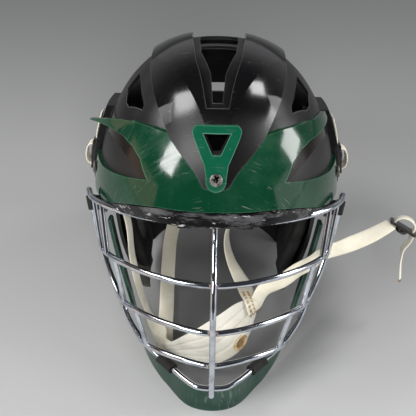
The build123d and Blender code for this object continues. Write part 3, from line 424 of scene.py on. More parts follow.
# %% Wiped streaks
wiped = visor_green.noise(48, 4.0, stretch=(1, 12, 1), turn=SCRATCH_TURNS[0]).between(0.46, 0.62)
wiped = wiped * visor_green.noise(15, 2.0).between(0.46, 0.6)
hazy = visor_green.noise(26, 6.0, rough=0.6).between(0.45, 0.75)
visor_green.feed("Roughness", 0.1 + wiped * 0.14 + hazy * 0.1)
visor_green.feed("Coat Weight", 0.3 - wiped * 0.14)
print("visor streaks done")

# %% [markdown]
# The finishes now go on. A carried-over solid keeps its mesh and its place, and only its material is
# exchanged.

# %% Plastics put on


SIDES = (("left", -1), ("right", 1))


def pair(*kinds):
    """Names of the left and right ones of each kind."""
    return [f"{kind}_{side}" for kind in kinds for side, _ in SIDES]


dress(["shell", "knob_base", *pair("side_cover")], satin_shell)
dress(["crown_panel"], gloss_panel)
dress(pair("side_pocket"), pocket_dull)
dress(pair("ear_flap"), flap_black)
dress(["visor"], visor_green)
dress(["front_vent_trim"], trim_green)
dress(["chin_guard"], guard_green)
dress(["fit_knob", "nape_cradle"], fit_black)
print("plastics done")

# %% [markdown]
# ## The scuffed brow lip
#
# The lip under the visor takes the knocks. Its black is rubbed through in silvery streaks that run along
# it, with a few deep white nicks, so its noise is stretched across the helmet and cut at two levels.

# %% Brow lip
lip = Finish("lip_scuffed_black", IOR=1.5)
along_lip = lip.noise(70, 7.0, stretch=(0.3, 1, 1.8), rough=0.7)
rubbed_through = along_lip.between(0.46, 0.62)
nicks = lip.noise(150, 4.0, stretch=(0.3, 1, 1.4), rough=0.7).between(0.6, 0.66)
lip_body = lip.mix(rubbed_through, tone(14, 14, 15), tone(78, 78, 80))
lip.feed("Base Color", lip.mix(nicks * 0.85, lip_body, tone(196, 196, 194)))
lip.feed("Roughness", 0.2 + rubbed_through * 0.25)
lip.bump(rubbed_through * 0.5 + nicks, 0.5)
dress(["brow_lip"], lip)
print("lip scuffed")

# %% [markdown]
# ## Chromed wire with rust
#
# The mask is bent from 5 mm steel rod and chromed after welding. Chrome mirrors the room, so most of its
# look comes from the lights; what is its own is grey tarnish, and orange rust where the rods meet and on
# the sides.

# %% Chrome
def chromed(name, spots=()):
    """Bright metal with tarnish and stray flecks of rust, and more rust within reach of the given widths."""
    finish = Finish(name, Metallic=1.0)
    across = abs(finish.part(finish.node("TexCoord", out="Object"), 0))
    cloud = finish.noise(330, 5.0, rough=0.65)
    rust = finish.noise(150, 3.0).between(0.7, 0.73) * finish.noise(24, 2.0).between(0.5, 0.62)
    for spot, reach in spots:
        close = abs(across - spot).between(reach, reach * 0.3)
        rust = rust.most((cloud + close * 0.17).between(0.6, 0.7) * close)
    tarnish = finish.noise(70, 5.0).between(0.42, 0.7)
    metal = finish.mix(tarnish * 0.7, tone(214, 219, 228), tone(138, 142, 150))
    rusty = finish.mix(finish.noise(500, 3.0), tone(84, 50, 30), tone(156, 98, 58))
    finish.feed("Base Color", finish.mix(rust, metal, rusty))
    finish.feed("Metallic", 1 - rust * 0.85)
    finish.feed("Roughness", 0.08 + tarnish * 0.12 + rust * 0.55)
    finish.bump(finish.noise(900, 2.0) * 0.15 + rust * cloud, 0.35)
    return finish


WELD_REACH = 0.007
dress(["mask_centre_bar", "mask_jaw_wire", *pair("mask_struts")], chromed("chrome_plain"))
for bar in ("brow", "upper", "middle", "lower"):
    dress([f"mask_bar_{bar}"], chromed(f"chrome_{bar}", [(0.0, WELD_REACH)]))
print("mask chromed")

# %% [markdown]
# ## Rubber, steel and small black plastic
#
# The sleeves and clips are plain rubber, matt with a fine bloom. The screws, studs and posts are turned
# steel that has dulled in patches.

# %% Rubber and steel
rubber = Finish("rubber_black", IOR=1.5)
bloom = rubber.noise(140, 5.0)
rubber.feed("Base Color", rubber.mix(bloom, tone(14, 14, 14), tone(36, 35, 34)))
rubber.feed("Roughness", 0.55 + bloom * 0.3)
rubber.bump(rubber.noise(1800, 2.0), 0.3)
dress(pair("mask_sleeve", "mask_clip_brow", "mask_clip_temple"), rubber)

steel = Finish("screw_steel", Metallic=1.0)
turned = steel.noise(260, 5.0)
steel.feed("Base Color", steel.mix(turned, tone(96, 92, 88), tone(178, 176, 172)))
steel.feed("Roughness", 0.28 + turned * 0.3)
steel.bump(steel.noise(1200, 3.0), 0.4)
dress(["visor_screws", "flap_screws", "rear_snap", *pair("temple_stud", "strap_post")], steel)
print("rubber and steel done")

# %% [markdown]
# The screw of the trim has a cross recess, drawn in its finish: a point lies in the cross when it is near one
# of two planes through the head's middle and not far from the other. The recess is only a shallow bump, and
# the shade inside it is painted as a near-black colour.

# %% Cross of the front screw


def points_of(made):
    """Places of an object's points, one row for each."""
    places = np.zeros(len(made.data.vertices) * 3)
    made.data.vertices.foreach_get("co", places)
    return places.reshape(-1, 3)


cross_steel = Finish("screw_steel_cross", Metallic=1.0)
screw_points = points_of(nodes["front_screw"])
forward = screw_points @ (0, -0.7, 0.7)
HEAD_LAYER = 0.0008
screw_middle = screw_points[forward > forward.max() - HEAD_LAYER].mean(axis=0)
CROSS_HALF, CROSS_REACH, CROSS_SOFT = 0.0006, 0.0023, 0.0003
CROSS_WAYS = ((0.87, 0, 0.5), (-0.5, 0, 0.87))
off_first, off_second = (abs(cross_steel.plane(way, float(screw_middle @ way))) for way in CROSS_WAYS)


def cross_arm(beside, along):
    """1 within an arm's half width on one side and its reach on the other, fading over the soft edge."""
    narrow = beside.between(CROSS_HALF + CROSS_SOFT, CROSS_HALF)
    return narrow * along.between(CROSS_REACH + CROSS_SOFT, CROSS_REACH)


recess = cross_arm(off_first, off_second).most(cross_arm(off_second, off_first))
spots = cross_steel.noise(420, 5.0).between(0.35, 0.65)
tarnish = cross_steel.mix(spots, tone(112, 107, 104), tone(192, 190, 188))
# Painted shade: the cross recess is coloured near-black for the shadow inside it.
cross_steel.feed("Base Color", cross_steel.mix(recess, tarnish, tone(14, 13, 13)))
cross_steel.feed("Roughness", 0.5 + recess * 0.3)
cross_steel.bump(recess * -0.0006 + cross_steel.noise(900, 3.0) * 0.0001, 1.0, 1.0)
dress(["front_screw"], cross_steel)
print("cross at", screw_middle.round(4))

# %% [markdown]
# The buckles are moulded nylon, browned by sweat, and the snap dome is a hard gloss black like the
# panel's. Both are the plastic recipe again. After this no solid may be without a material, so the list
# that the cell prints should be empty.

# %% Buckles and snap
nylon = worn_plastic("buckle_nylon", tone(30, 27, 25), tone(66, 60, 54), 0.32, 0.5, haze=0.6, grain=0.6)
snap_black = worn_plastic(
    "snap_gloss_black", tone(12, 12, 13), tone(30, 30, 31), 0.1, 0.25, haze=0.3, coat=0.5
)
dress(["free_buckle", *pair("temple_buckle")], nylon)
dress(["free_snap"], snap_black)
print("still bare:", [name for name in nodes if not any(nodes[name].data.materials)])

# %% [markdown]
# ## One way to make a strap
#
# Webbing is a flat woven band that twists as it goes. It could be a plane with thickness added, but its
# edges would be sharp; here its rounded section is carried along a smooth curve, so the selvedge is soft
# and a texture can follow its length.

# %% Curves


def flowing(stations, count):
    """Smooth run through rows of numbers: cubic pieces whose slopes are the average slopes at each row."""
    rows = np.asarray(stations, float)
    along = steps_along(rows[:, :3])
    slopes = np.gradient(rows, along, axis=0)
    wanted = np.linspace(0, along[-1], count)
    left = np.clip(np.searchsorted(along, wanted, side="right") - 1, 0, len(rows) - 2)
    span = (along[left + 1] - along[left])[:, None]
    t = ((wanted - along[left]) / span[:, 0])[:, None]
    start = (2 * t**3 - 3 * t**2 + 1) * rows[left] + (t**3 - 2 * t**2 + t) * span * slopes[left]
    return start + (3 * t**2 - 2 * t**3) * rows[left + 1] + (t**3 - t**2) * span * slopes[left + 1]


def unit(vectors):
    """Vectors made one long."""
    return vectors / np.maximum(np.linalg.norm(vectors, axis=-1, keepdims=True), 1e-12)


def square_to(vectors, line):
    """Vectors turned square to a line: what they have along it is taken away, and they are made one long."""
    return unit(vectors - line * (vectors * line).sum(-1, keepdims=True))


def steps_along(line):
    """Distance from a line's start to each of its points, added up from piece to piece."""
    return np.concatenate([[0], np.cumsum(np.linalg.norm(np.diff(line, axis=0), axis=1))])


def squared(wave, power):
    """A wave from -1 to 1 with its shoulders pushed out: sign(wave) * |wave|^power."""
    return np.sign(wave) * np.abs(wave) ** power


print("curves ready")

# %% [markdown]
# Every soft piece here is a closed skin through rings of points: a strap's sections, a pad's outlines or
# a yarn's circles. One function makes all of them from one array, with a texture map where the piece has
# a weave.

# %% Skins


def skin(name, rings, material, uv=None, capped=True):
    """Closed skins through rings (pieces, rings, points, 3): quads between rings, and a cap at each end.

    Without caps the rings themselves go round, so the last one is joined to the first."""
    rings = np.asarray(rings, float)
    rings = rings.reshape(-1, *rings.shape[-3:])
    pieces, count, around = rings.shape[:3]
    ring, step = np.meshgrid(np.arange(count - 1 if capped else count), np.arange(around), indexing="ij")
    after, onward = (step + 1) % around, (ring + 1) % count
    corners = [ring * around + step, ring * around + after, onward * around + after, onward * around + step]
    quads = np.stack(corners, axis=-1).reshape(-1, 4)
    caps = np.stack([np.arange(around)[::-1], np.arange((count - 1) * around, count * around)])
    shift = np.arange(pieces)[:, None, None] * count * around
    faces = (quads + shift).reshape(-1, 4).tolist()
    if capped:
        faces += (caps + shift).reshape(-1, around).tolist()
    mesh = bpy.data.meshes.new(name)
    mesh.from_pydata(rings.reshape(-1, 3).tolist(), [], faces)
    if uv is not None:
        across = np.stack([step, step + 1, step + 1, step], axis=-1).reshape(-1)
        down = np.stack([ring, ring, ring + 1, ring + 1], axis=-1).reshape(-1)
        values = np.zeros((len(mesh.loops), 2))
        values[: len(across)] = np.stack([uv[0][across], uv[1][down]], axis=-1)
        mesh.uv_layers.new(name="weave").data.foreach_set("uv", values.reshape(-1))
    mesh.polygons.foreach_set("use_smooth", np.ones(len(mesh.polygons), bool))
    mesh.update()
    made = placed(name, mesh)
    mesh.materials.append(material)
    face_outward(made)
    return made


def face_outward(made):
    """Turn every face of a closed skin outwards."""
    loose = bmesh.new()
    loose.from_mesh(made.data)
    bmesh.ops.recalc_face_normals(loose, faces=loose.faces)
    loose.to_mesh(made.data)
    loose.free()


print("skins ready")

# %% [markdown]
# ## The webbing's weave
#
# The cream webbing is a fine herringbone of cotton: ribs about a millimetre apart, darker along their crests,
# soil in loose patches, and yellowed stains. Its texture follows the strap by a map of metres across and
# along, so a rib has the same size on every strap.

# %% Webbing finish
WEBBING_WIDTH, WEBBING_THICKNESS = 0.014, 0.0018
SECTION_POINTS = 28
turn = np.linspace(0, 2 * np.pi, SECTION_POINTS, endpoint=False)
section_x, section_y = squared(np.cos(turn), 0.55), squared(np.sin(turn), 0.8)
SECTION_UV = np.arange(SECTION_POINTS + 1) / SECTION_POINTS
HERRINGBONE, RIB_SLANT, RIB_COUNT, THREAD_COUNT = 12.566, 0.0016, 5200, 210


def woven(name, light, dark, stain, dirt=0.5):
    """Woven cotton on the strap's own map: slanted ribs from two sine waves, soil, and stained patches."""
    finish = Finish(name, Roughness=0.85, Sheen_Weight=0.3)
    spot = finish.node("UVMap", {"uv_map": "weave"})
    rib_across, rib_along = finish.part(spot, 0), finish.part(spot, 1)
    slant = abs((rib_across * HERRINGBONE).sine())
    ribs = ((rib_along + slant * RIB_SLANT) * RIB_COUNT).sine()
    threads = (rib_across * THREAD_COUNT).sine()
    cloth = ribs * 0.5 + threads * 0.25 + 0.75
    soil = finish.noise(60, 5.0).between(0.42, 0.75) * dirt
    fuzz = finish.noise(2500, 2.0)
    base = finish.mix(cloth * 0.2 + fuzz * 0.3 + soil * 0.45, light, dark)
    finish.feed("Base Color", finish.mix(finish.noise(35, 4.0).between(0.6, 0.75) * 0.35, base, stain))
    finish.bump(cloth + fuzz * 0.6, 0.6, 0.00018)
    return finish


webbing = woven("webbing_cream", tone(243, 239, 222), tone(204, 194, 166), tone(176, 152, 112))
print("webbing", WEBBING_WIDTH, "m wide")

# %% [markdown]
# A strap is given by a few stations: a place on its middle line and the direction of its width there. The
# line flows through them, and the width direction is squared up against it at every step, so the band can
# twist.

# %% Strap maker


def strap_frame(stations, pieces, shares=True):
    """Middle line, width direction and face direction of a strap at equal steps along it."""
    rows = np.array([(*spot, *across) for spot, across in stations], float)
    if shares:
        rows[:, :3] = set_down(rows[:, :3] * SHARES)
        rows[:, 3:] = set_down_direction(rows[:, 3:])
    run = flowing(rows, pieces)
    middle = run[:, :3]
    ahead = unit(np.gradient(middle, axis=0))
    wide = square_to(run[:, 3:], ahead)
    return middle, wide, np.cross(ahead, wide)


def strap(name, stations, pieces=90, sway=0.0003, shares=True):
    """A strap: place(s) + across(s) * width/2 * x(u) + face(s) * thickness/2 * y(u), over a rounded section.

    The middle of the band dips a little towards its face, by sway, and its ends are drawn in."""
    middle, wide, face = strap_frame(stations, pieces, shares)
    rounded = np.ones(pieces)
    rounded[[0, -1]], rounded[[1, -2]] = 0.35, 0.9
    flat = section_x[None, :, None] * wide[:, None] * WEBBING_WIDTH / 2
    thick = section_y[None, :, None] * face[:, None] * WEBBING_THICKNESS / 2 * rounded[:, None, None]
    dip = (1 - section_x**2)[None, :, None] * face[:, None] * sway
    rings = middle[:, None] + flat + thick + dip
    made = skin(name, rings, webbing.material, (SECTION_UV, steps_along(middle)))
    return made


print("strap maker ready")

# %% [markdown]
# The chin cup hangs on two high straps and a rear one at the left, and the free strap leaves its right end,
# passes through the mask and bends outside it. Straps that cross the chin joint are attached to no body;
# their place is baked into their mesh.

# %% Chin straps
STRAPS = {
    "strap_high_left": [
        ((-0.818, -0.354, 1.1), (0.1, 1, -0.1)), ((-0.738, -0.369, 0.95), (0.2, 1, 0)),
        ((-0.698, -0.362, 0.695), (0.25, 1, 0)), ((-0.621, -0.334, 0.434), (0.3, 1, -0.2)),
        ((-0.563, -0.37, 0.341), (0.3, 0.9, -0.3)), ((-0.478, -0.452, 0.281), (0.4, 0.5, 0.4)),
        ((-0.4125, -0.5405, 0.22), (0, 0.1, 1)), ((-0.36, -0.575, 0.215), (-0.05, 0, 1)),
    ],
    "strap_high_right": [
        ((0.821, -0.238, 1.1), (0, 1, 0.1)), ((0.679, -0.185, 1.062), (0.1, 1, 0.1)),
        ((0.5, -0.1, 1.06), (0.2, 1, 0.2)), ((0.34, -0.05, 1), (0.35, 0.9, 0.25)),
        ((0.2, -0.052, 0.88), (0.4, 0.9, 0.1)), ((0.111, -0.062, 0.771), (0.3, 1, 0)),
        ((0.107, -0.075, 0.683), (0.35, 0.94, 0)), ((0.145, -0.11, 0.596), (0.5, 0.85, -0.1)),
        ((0.208, -0.2, 0.54), (0.65, 0.7, 0)), ((0.262, -0.33, 0.522), (0.8, 0.5, 0.1)),
        ((0.288, -0.465, 0.525), (0.8, 0.55, 0)), ((0.318, -0.546, 0.508), (0.8, 0.55, -0.15)),
        ((0.35, -0.553, 0.45), (0.76, 0.63, 0.1)),
    ],
    "strap_rear_left": [
        ((-0.406, 0.8, 0.494), (0.8, 0.6, 0)), ((-0.434, 0.615, 0.431), (0.85, 0.5, 0)),
        ((-0.439, 0.385, 0.365), (0.9, 0.4, 0)), ((-0.434, 0.154, 0.306), (1, 0.2, 0)),
        ((-0.425, -0.077, 0.266), (1, 0, 0)), ((-0.42, -0.3, 0.228), (1, 0, 0)),
        ((-0.405, -0.485, 0.19), (1, 0, 0.1)), ((-0.385, -0.56, 0.175), (1, 0, 0.2)),
    ],
    "strap_free_inner": [
        ((0.353, -0.513, 0.476), (-0.6, -0.2, 0.8)), ((0.423, -0.469, 0.554), (-0.55, -0.1, 0.85)),
        ((0.573, -0.462, 0.608), (-0.55, -0.1, 0.85)), ((0.7, -0.479, 0.69), (-0.45, -0.1, 0.9)),
        ((0.811, -0.477, 0.736), (-0.35, -0.1, 0.95)), ((0.877, -0.415, 0.747), (-0.3, -0.1, 0.95)),
        ((0.9315, -0.3565, 0.745), (-0.25, -0.1, 0.95)),
    ],
    "strap_free_outer": [
        ((0.931, -0.357, 0.745), (-0.25, -0.1, 0.95)), ((0.948, -0.338, 0.745), (-0.25, -0.1, 0.95)),
        ((0.986, -0.317, 0.747), (-0.27, -0.05, 0.95)), ((1.057, -0.292, 0.753), (-0.3, 0, 0.95)),
        ((1.17, -0.254, 0.769), (-0.35, 0.35, 0.85)), ((1.363, -0.181, 0.802), (-0.35, 0.7, 0.6)),
        ((1.533, -0.104, 0.8405), (-0.35, 0.85, 0.3)),
    ],
}
STRAP_BODY = {"strap_high_left": "chin_set", "strap_high_right": "chin_set", "strap_free_outer": "free_end"}
for name, stations in STRAPS.items():
    made = strap("webbing_" + name, stations, pieces=120)
    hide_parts(name)
    if name in STRAP_BODY:
        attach(made, STRAP_BODY[name])
    else:
        held, sewn = stations[0][0], stations[-1][0]
        if name == "strap_free_inner":
            held, sewn = sewn, held
        ends = [Vector(set_down(np.array(spot) * SHARES)) for spot in (held, sewn)]
        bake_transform(made)
print("straps", len(STRAPS))

# %% [markdown]
# ## The curve of the shell
#
# Buckles, pads and tails all lie on the shell, so its curve is needed here too. It is a superellipse
# twice over: seen from the side its radius changes with the angle, and each section shrinks towards the
# ears.

# %% Curve of the shell
SHELL_FRONT, SHELL_BACK, SHELL_UP, SHELL_DOWN = 0.130, 0.143, 0.137, 0.150
EAR_AXIS = np.array([0.005, 0.160])
SIDE_POWER, PROFILE_POWER, WALL = 2.3, 2.25, 0.003


def shell_share(places, proud):
    """1 on the shell moved out by proud, less inside: |x/a|^n + (distance from the ear axis / R)^n."""
    rear, high = places[..., 1] - EAR_AXIS[0], places[..., 2] - EAR_AXIS[1]
    distance = np.maximum(np.hypot(rear, high), 1e-9)
    along = np.abs(rear / distance / np.where(rear > 0, SHELL_BACK, SHELL_FRONT)) ** PROFILE_POWER
    upright = np.abs(high / distance / np.where(high > 0, SHELL_UP, SHELL_DOWN)) ** PROFILE_POWER
    reach = (along + upright) ** (-1 / PROFILE_POWER) + proud
    return np.abs(places[..., 0] / (HALF_WIDTH + proud)) ** SIDE_POWER + (distance / reach) ** SIDE_POWER


def on_shell(starts, direction, proud):
    """Where lines from inside meet the shell moved out by proud (one number, or one a line), by halving."""
    direction = np.asarray(direction, float)
    near, far = np.zeros(starts.shape[:-1]), np.full(starts.shape[:-1], 0.25)
    for _ in range(30):
        half = (near + far) / 2
        inside = shell_share(starts + half[..., None] * direction, proud) < 1
        near, far = np.where(inside, half, near), np.where(inside, far, half)
    return starts + near[..., None] * direction


def shell_normal(place, proud):
    """Outward direction at a place of the shell, from small steps."""
    step = 1e-5 * np.eye(3)
    slope = [float(shell_share(place + s, proud) - shell_share(place - s, proud)) for s in step]
    return unit(np.array(slope))


print("shell curve", SHELL_FRONT + SHELL_BACK, "m long")

# %% [markdown]
# ## Temple buckles' webbing and the free buckle's
#
# Each temple buckle is a plate with a loop of webbing folded over it and a cut tail that points up the
# shell. The free buckle carries the same loop, and its tail hangs down and ends in a brown, frayed tip.

# %% Temple loops and tails
PLATE_LENGTH, COVER_PROUD = 0.028, 0.007
LOOP_GAP, TAIL_GAP = 0.0003, 0.0011
LOOP = [(0.36, 0.05), (0.36, 0.16), (0.3, 0.27), (0.16, 0.335), (0, 0.35)]
LOOP += [(-along, out) for along, out in LOOP[-2::-1]]
BUCKLE_SPOT = np.array([0.192 * SHELL_FRONT, 1.16 * EAR_HEIGHT])
TAIL_RISES = (0.56, 0.8, 1.1, 1.45)


def lowered(stations):
    """Stations in worn metres, set down on the floor."""
    return [(set_down(spot), set_down_direction(across)) for spot, across in stations]


for side, way in SIDES:
    seat = on_shell(np.array([0.0, *BUCKLE_SPOT]), (way, 0, 0), COVER_PROUD)
    out = shell_normal(seat, COVER_PROUD)
    level = square_to(np.array([0, 1.0, 0]), out)
    rise = np.cross(out, level) * np.sign(np.cross(out, level)[2])
    seat = seat + out * LOOP_GAP
    rows = lowered([(seat + (rise * a + out * o) * PLATE_LENGTH, level) for a, o in LOOP])
    fold = strap(f"webbing_temple_loop_{side}", rows, pieces=60, shares=False)
    starts = np.array([[0.0, BUCKLE_SPOT[0], BUCKLE_SPOT[1] + r * PLATE_LENGTH] for r in TAIL_RISES])
    spots = on_shell(starts, (way, 0, 0), COVER_PROUD + WEBBING_THICKNESS / 2 + TAIL_GAP)
    rows = lowered([(spot, level) for spot in spots])
    tail = strap(f"webbing_temple_tail_{side}", rows, pieces=40, shares=False)
    for made in (fold, tail):
        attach(made, f"temple_{side}")
        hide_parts(f"temple_webbing_{side}")
print("temple buckles webbed")

# %% [markdown]
# The free buckle lies at a slant in the air, so its plate's own three directions are written down, and
# the loop is drawn in them. The tail falls from the plate's inner end.

# %% Free loop and tail
FREE_PLATE_LENGTH = 0.027
PLATE_SPOT = np.array([1.651, -0.069, 0.811]) * SHARES
plate_along = unit(np.array([0.87, -0.203, -0.457]))
plate_out = square_to(unit(np.array([0.5, 0.126, 0.897])), plate_along)
plate_across = np.cross(plate_out, plate_along)
FREE_LOOP = [(-0.35, 0.02), (-0.34, 0.13), (-0.26, 0.25), (-0.1, 0.34)]
FREE_LOOP += [(0.1, 0.36), (0.27, 0.29), (0.35, 0.15), (0.35, 0.02)]
free_spots = [PLATE_SPOT + (plate_along * a + plate_out * o) * FREE_PLATE_LENGTH for a, o in FREE_LOOP]
free_rows = lowered([(spot, plate_across) for spot in free_spots])
free_fold = strap("webbing_free_loop", free_rows, pieces=60, shares=False)
FREE_TAIL = [
    ((1.737, -0.074, 0.7608), (-0.1, 1, -0.4)), ((1.704, -0.089, 0.722), (-0.1, 1, -0.3)),
    ((1.662, -0.101, 0.687), (0, 1, -0.2)), ((1.648, -0.12, 0.63), (0.15, 1, -0.2)),
    ((1.647, -0.162, 0.512), (0.25, 1, -0.25)),
]
free_tail = strap("webbing_free_tail", FREE_TAIL, pieces=60)
for made in (free_fold, free_tail):
    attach(made, "free_end_buckle")
    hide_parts("free_webbing")
print("free buckle webbed")

# %% [markdown]
# ## Frayed tip
#
# Where the tail was cut, its yarns have come loose and browned. Each yarn is a thin bent tube; all of
# them are worked out at once, with a seeded spread so that they come out the same each time.

# %% Frayed yarns
rng = np.random.default_rng(7)


def tubes(paths, radius, around=6):
    """Round tubes along paths (tubes, steps, 3): path + radius * (cos, sin) of two crossed directions."""
    ahead = unit(np.gradient(paths, axis=1))
    first = unit(np.cross(ahead, np.array([0.31, 0.52, 0.8])))
    second = np.cross(ahead, first)
    turns = np.linspace(0, 2 * np.pi, around, endpoint=False)
    radius = np.broadcast_to(radius, paths.shape[:2])[..., None, None]
    ring = first[:, :, None] * np.cos(turns)[:, None] + second[:, :, None] * np.sin(turns)[:, None]
    return paths[:, :, None] + ring * radius


def thread(name, lumps, light, dark, fibres=5000, roughness=0.8):
    """Spun thread: a colour that drifts in slow lumps, and a bump of fine fibres."""
    finish = Finish(name, Roughness=roughness)
    finish.feed("Base Color", finish.mix(finish.noise(lumps, 3.0), light, dark))
    finish.bump(finish.noise(fibres, 2.0), 0.3)
    return finish


YARN_RADIUS, YARN_TUCK = 0.00018, 0.0008
yarn_brown = thread("yarn_brown", 900, tone(92, 66, 42), tone(172, 146, 104), 4000, 0.9)


def frayed(name, stations, count, length, body, pieces=60):
    """Loose yarns at a strap's last station: straight on by their length, bent by a seeded sideways sway."""
    middle, wide, face = strap_frame(stations, pieces)
    ahead = unit(middle[-1] - middle[-2])
    steps = np.linspace(0, 1, 7)[None, :, None]
    start = middle[-1] - ahead * YARN_TUCK + wide[-1] * rng.uniform(-0.48, 0.48, (count, 1)) * WEBBING_WIDTH
    start = start + face[-1] * rng.uniform(-0.3, 0.3, (count, 1)) * WEBBING_THICKNESS
    sway = wide[-1] * rng.normal(0, 0.35, (count, 1)) + face[-1] * rng.normal(0, 0.3, (count, 1))
    reach = rng.uniform(0.4, 1.0, (count, 1)) * length
    paths = start[:, None] + ahead * steps * reach[:, None] + sway[:, None] * steps**2 * reach[:, None]
    made = skin(name, tubes(paths, YARN_RADIUS, 5), yarn_brown.material)
    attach(made, body)
    return made


frayed("yarns_free_tail", FREE_TAIL, 44, 0.0032, "free_end_buckle")
print("tail frayed")

# %% [markdown]
# ## Chin cup
#
# The cup is a padded cotton band that is sewn along three lines, so it swells in four ridges. A plain
# solid would look like soap. The skin is drawn thinner than the real cup along its stations, and a cloth
# simulation blows it up while the seams are held, which gives the ridges their uneven swell.

# %% Stations of the cup
CUP_WIDTH, CUP_THICKNESS = 0.042, 0.009
CUP_STATIONS = [
    ((-0.404, -0.554, 0.197), (-0.07, -0.19, 0.98), 0.26, 0.36),
    ((-0.311, -0.592, 0.214), (-0.1, -0.11, 0.99), 0.43, 0.56),
    ((-0.198, -0.635, 0.242), (-0.13, -0.07, 0.99), 0.67, 0.85),
    ((-0.04, -0.685, 0.288), (-0.21, -0.05, 0.98), 0.97, 1),
    ((0.122, -0.662, 0.353), (-0.26, -0.04, 0.97), 1.07, 1),
    ((0.248, -0.577, 0.416), (-0.21, -0.05, 0.98), 0.92, 0.83),
    ((0.333, -0.492, 0.458), (-0.31, -0.1, 0.94), 0.46, 0.44),
]
CUP_RINGS, CUP_AROUND = 96, 96
CUP_SEAMS = (-0.42, 0.06, 0.54)
SEAM_NARROW, SEAM_PINCH = 0.04, 0.26
cup_rows = np.array([(*spot, *across, wide, deep) for spot, across, wide, deep in CUP_STATIONS], float)
cup_rows[:, :3] = set_down(cup_rows[:, :3] * SHARES)
cup_rows[:, 3:6] = set_down_direction(cup_rows[:, 3:6])
cup_run = flowing(cup_rows, CUP_RINGS)
cup_middle = cup_run[:, :3]
cup_ahead = unit(np.gradient(cup_middle, axis=0))
cup_wide = square_to(cup_run[:, 3:6], cup_ahead)
cup_face = np.cross(cup_ahead, cup_wide)
cup_half_wide = cup_run[:, 6] * CUP_WIDTH / 2
cup_half_deep = cup_run[:, 7] * CUP_THICKNESS / 2
print("cup", round(float(steps_along(cup_middle)[-1]), 3), "m long")

# %% [markdown]
# The stations give the band's middle line, its width and its depth. The skin has two sheets over them,
# one outside and one at the chin, that meet at the rims and are pinched at the three seams.

# %% Skin of the cup


def cup_places(along, across, sheet, swell=0.72):
    """Places of the cup's two sheets: across from -1 to 1 of its half width, sheet +1 outside and -1 inside.

    Depth is a crown (1 - |across|^2.6)^0.6, pinched by a quarter along each seam, by a narrow bell curve."""
    crown = (1 - np.minimum(np.abs(across), 1) ** 2.6) ** 0.6
    pinch = sum(np.exp(-(((across - seam) / SEAM_NARROW) ** 2)) for seam in CUP_SEAMS)
    depth = crown * swell * (1 - SEAM_PINCH * np.minimum(pinch, 1)) * sheet
    step = along * (CUP_RINGS - 1)
    low = np.clip(step.astype(int), 0, CUP_RINGS - 2)
    part = (step - low)[..., None]

    def blend(rows):
        rows = rows.reshape(CUP_RINGS, -1)
        return rows[low] * (1 - part) + rows[low + 1] * part

    sideways = blend(cup_wide) * across[..., None] * blend(cup_half_wide)
    return blend(cup_middle) + sideways + blend(cup_face) * depth[..., None] * blend(cup_half_deep)


half_round = np.linspace(0, np.pi, CUP_AROUND // 2, endpoint=False)
cup_across = np.concatenate([np.cos(half_round), -np.cos(half_round)])
cup_sheet = np.concatenate([np.ones(CUP_AROUND // 2), -np.ones(CUP_AROUND // 2)])
cup_along = np.linspace(0, 1, CUP_RINGS)
grid_along, grid_across = np.meshgrid(cup_along, cup_across, indexing="ij")
cup_rings = cup_places(grid_along, grid_across, np.broadcast_to(cup_sheet, grid_along.shape))
girth = steps_along(np.append(cup_across, cup_across[0])[:, None] * CUP_WIDTH / 2)
cup = skin("chin_cup_padded", cup_rings, webbing.material, (girth, steps_along(cup_middle)))
print("cup skin", len(cup.data.vertices), "points")

# %% [markdown]
# ## Blowing the cup up
#
# The seams, the rim and both ends are held. Pressure pushes the rest out for twenty frames without
# gravity, and then no point may have moved more than nine tenths of a millimetre, so the cup keeps its
# size.

# %% Cloth simulation
def blown_up(made, held, cap, pressure=4.0, frames=20):
    """Cloth with pressure inside and held seams; each point's move is cut to cap and kept in the mesh."""
    group = made.vertex_groups.new(name="seams")
    group.add([int(i) for i in np.flatnonzero(held)], 1.0, "REPLACE")
    cloth = made.modifiers.new("swell", "CLOTH")
    cloth.settings.use_pressure = True
    cloth.settings.uniform_pressure_force = pressure
    cloth.settings.effector_weights.gravity = 0.0
    cloth.settings.vertex_group_mass = group.name
    cloth.settings.quality = 6
    cloth.settings.mass = 0.2
    scene = bpy.context.scene
    for number in range(1, frames + 1):
        scene.frame_set(number)
    solved = made.evaluated_get(bpy.context.evaluated_depsgraph_get())
    before = points_of(made)
    move = points_of(solved) - before
    size = np.linalg.norm(move, axis=1, keepdims=True)
    move = move * np.minimum(1, cap / np.maximum(size, 1e-9))
    made.modifiers.remove(cloth)
    made.vertex_groups.remove(group)
    made.data.vertices.foreach_set("co", (before + move).reshape(-1))
    made.data.update()
    scene.frame_set(1)
    print(made.name, "swelled by up to", round(float(size.max()) * 1000, 2), "mm, kept", round(cap * 1000, 2))


SWELL_CAP = 0.0009
seam_near = np.min([np.abs(grid_across - seam) for seam in CUP_SEAMS], axis=0) < 0.05
held_rim = (np.abs(grid_across) > 0.985) | (grid_along < 0.02) | (grid_along > 0.98)
blown_up(cup, (seam_near | held_rim).reshape(-1), SWELL_CAP)

# %% [markdown]
# ## Eyelet
#
# An oval hole near the cup's lower edge is bound with tan thread. The hole has to go right through both
# sheets, so it is cut with an oval rod, and the rod is then thrown away.

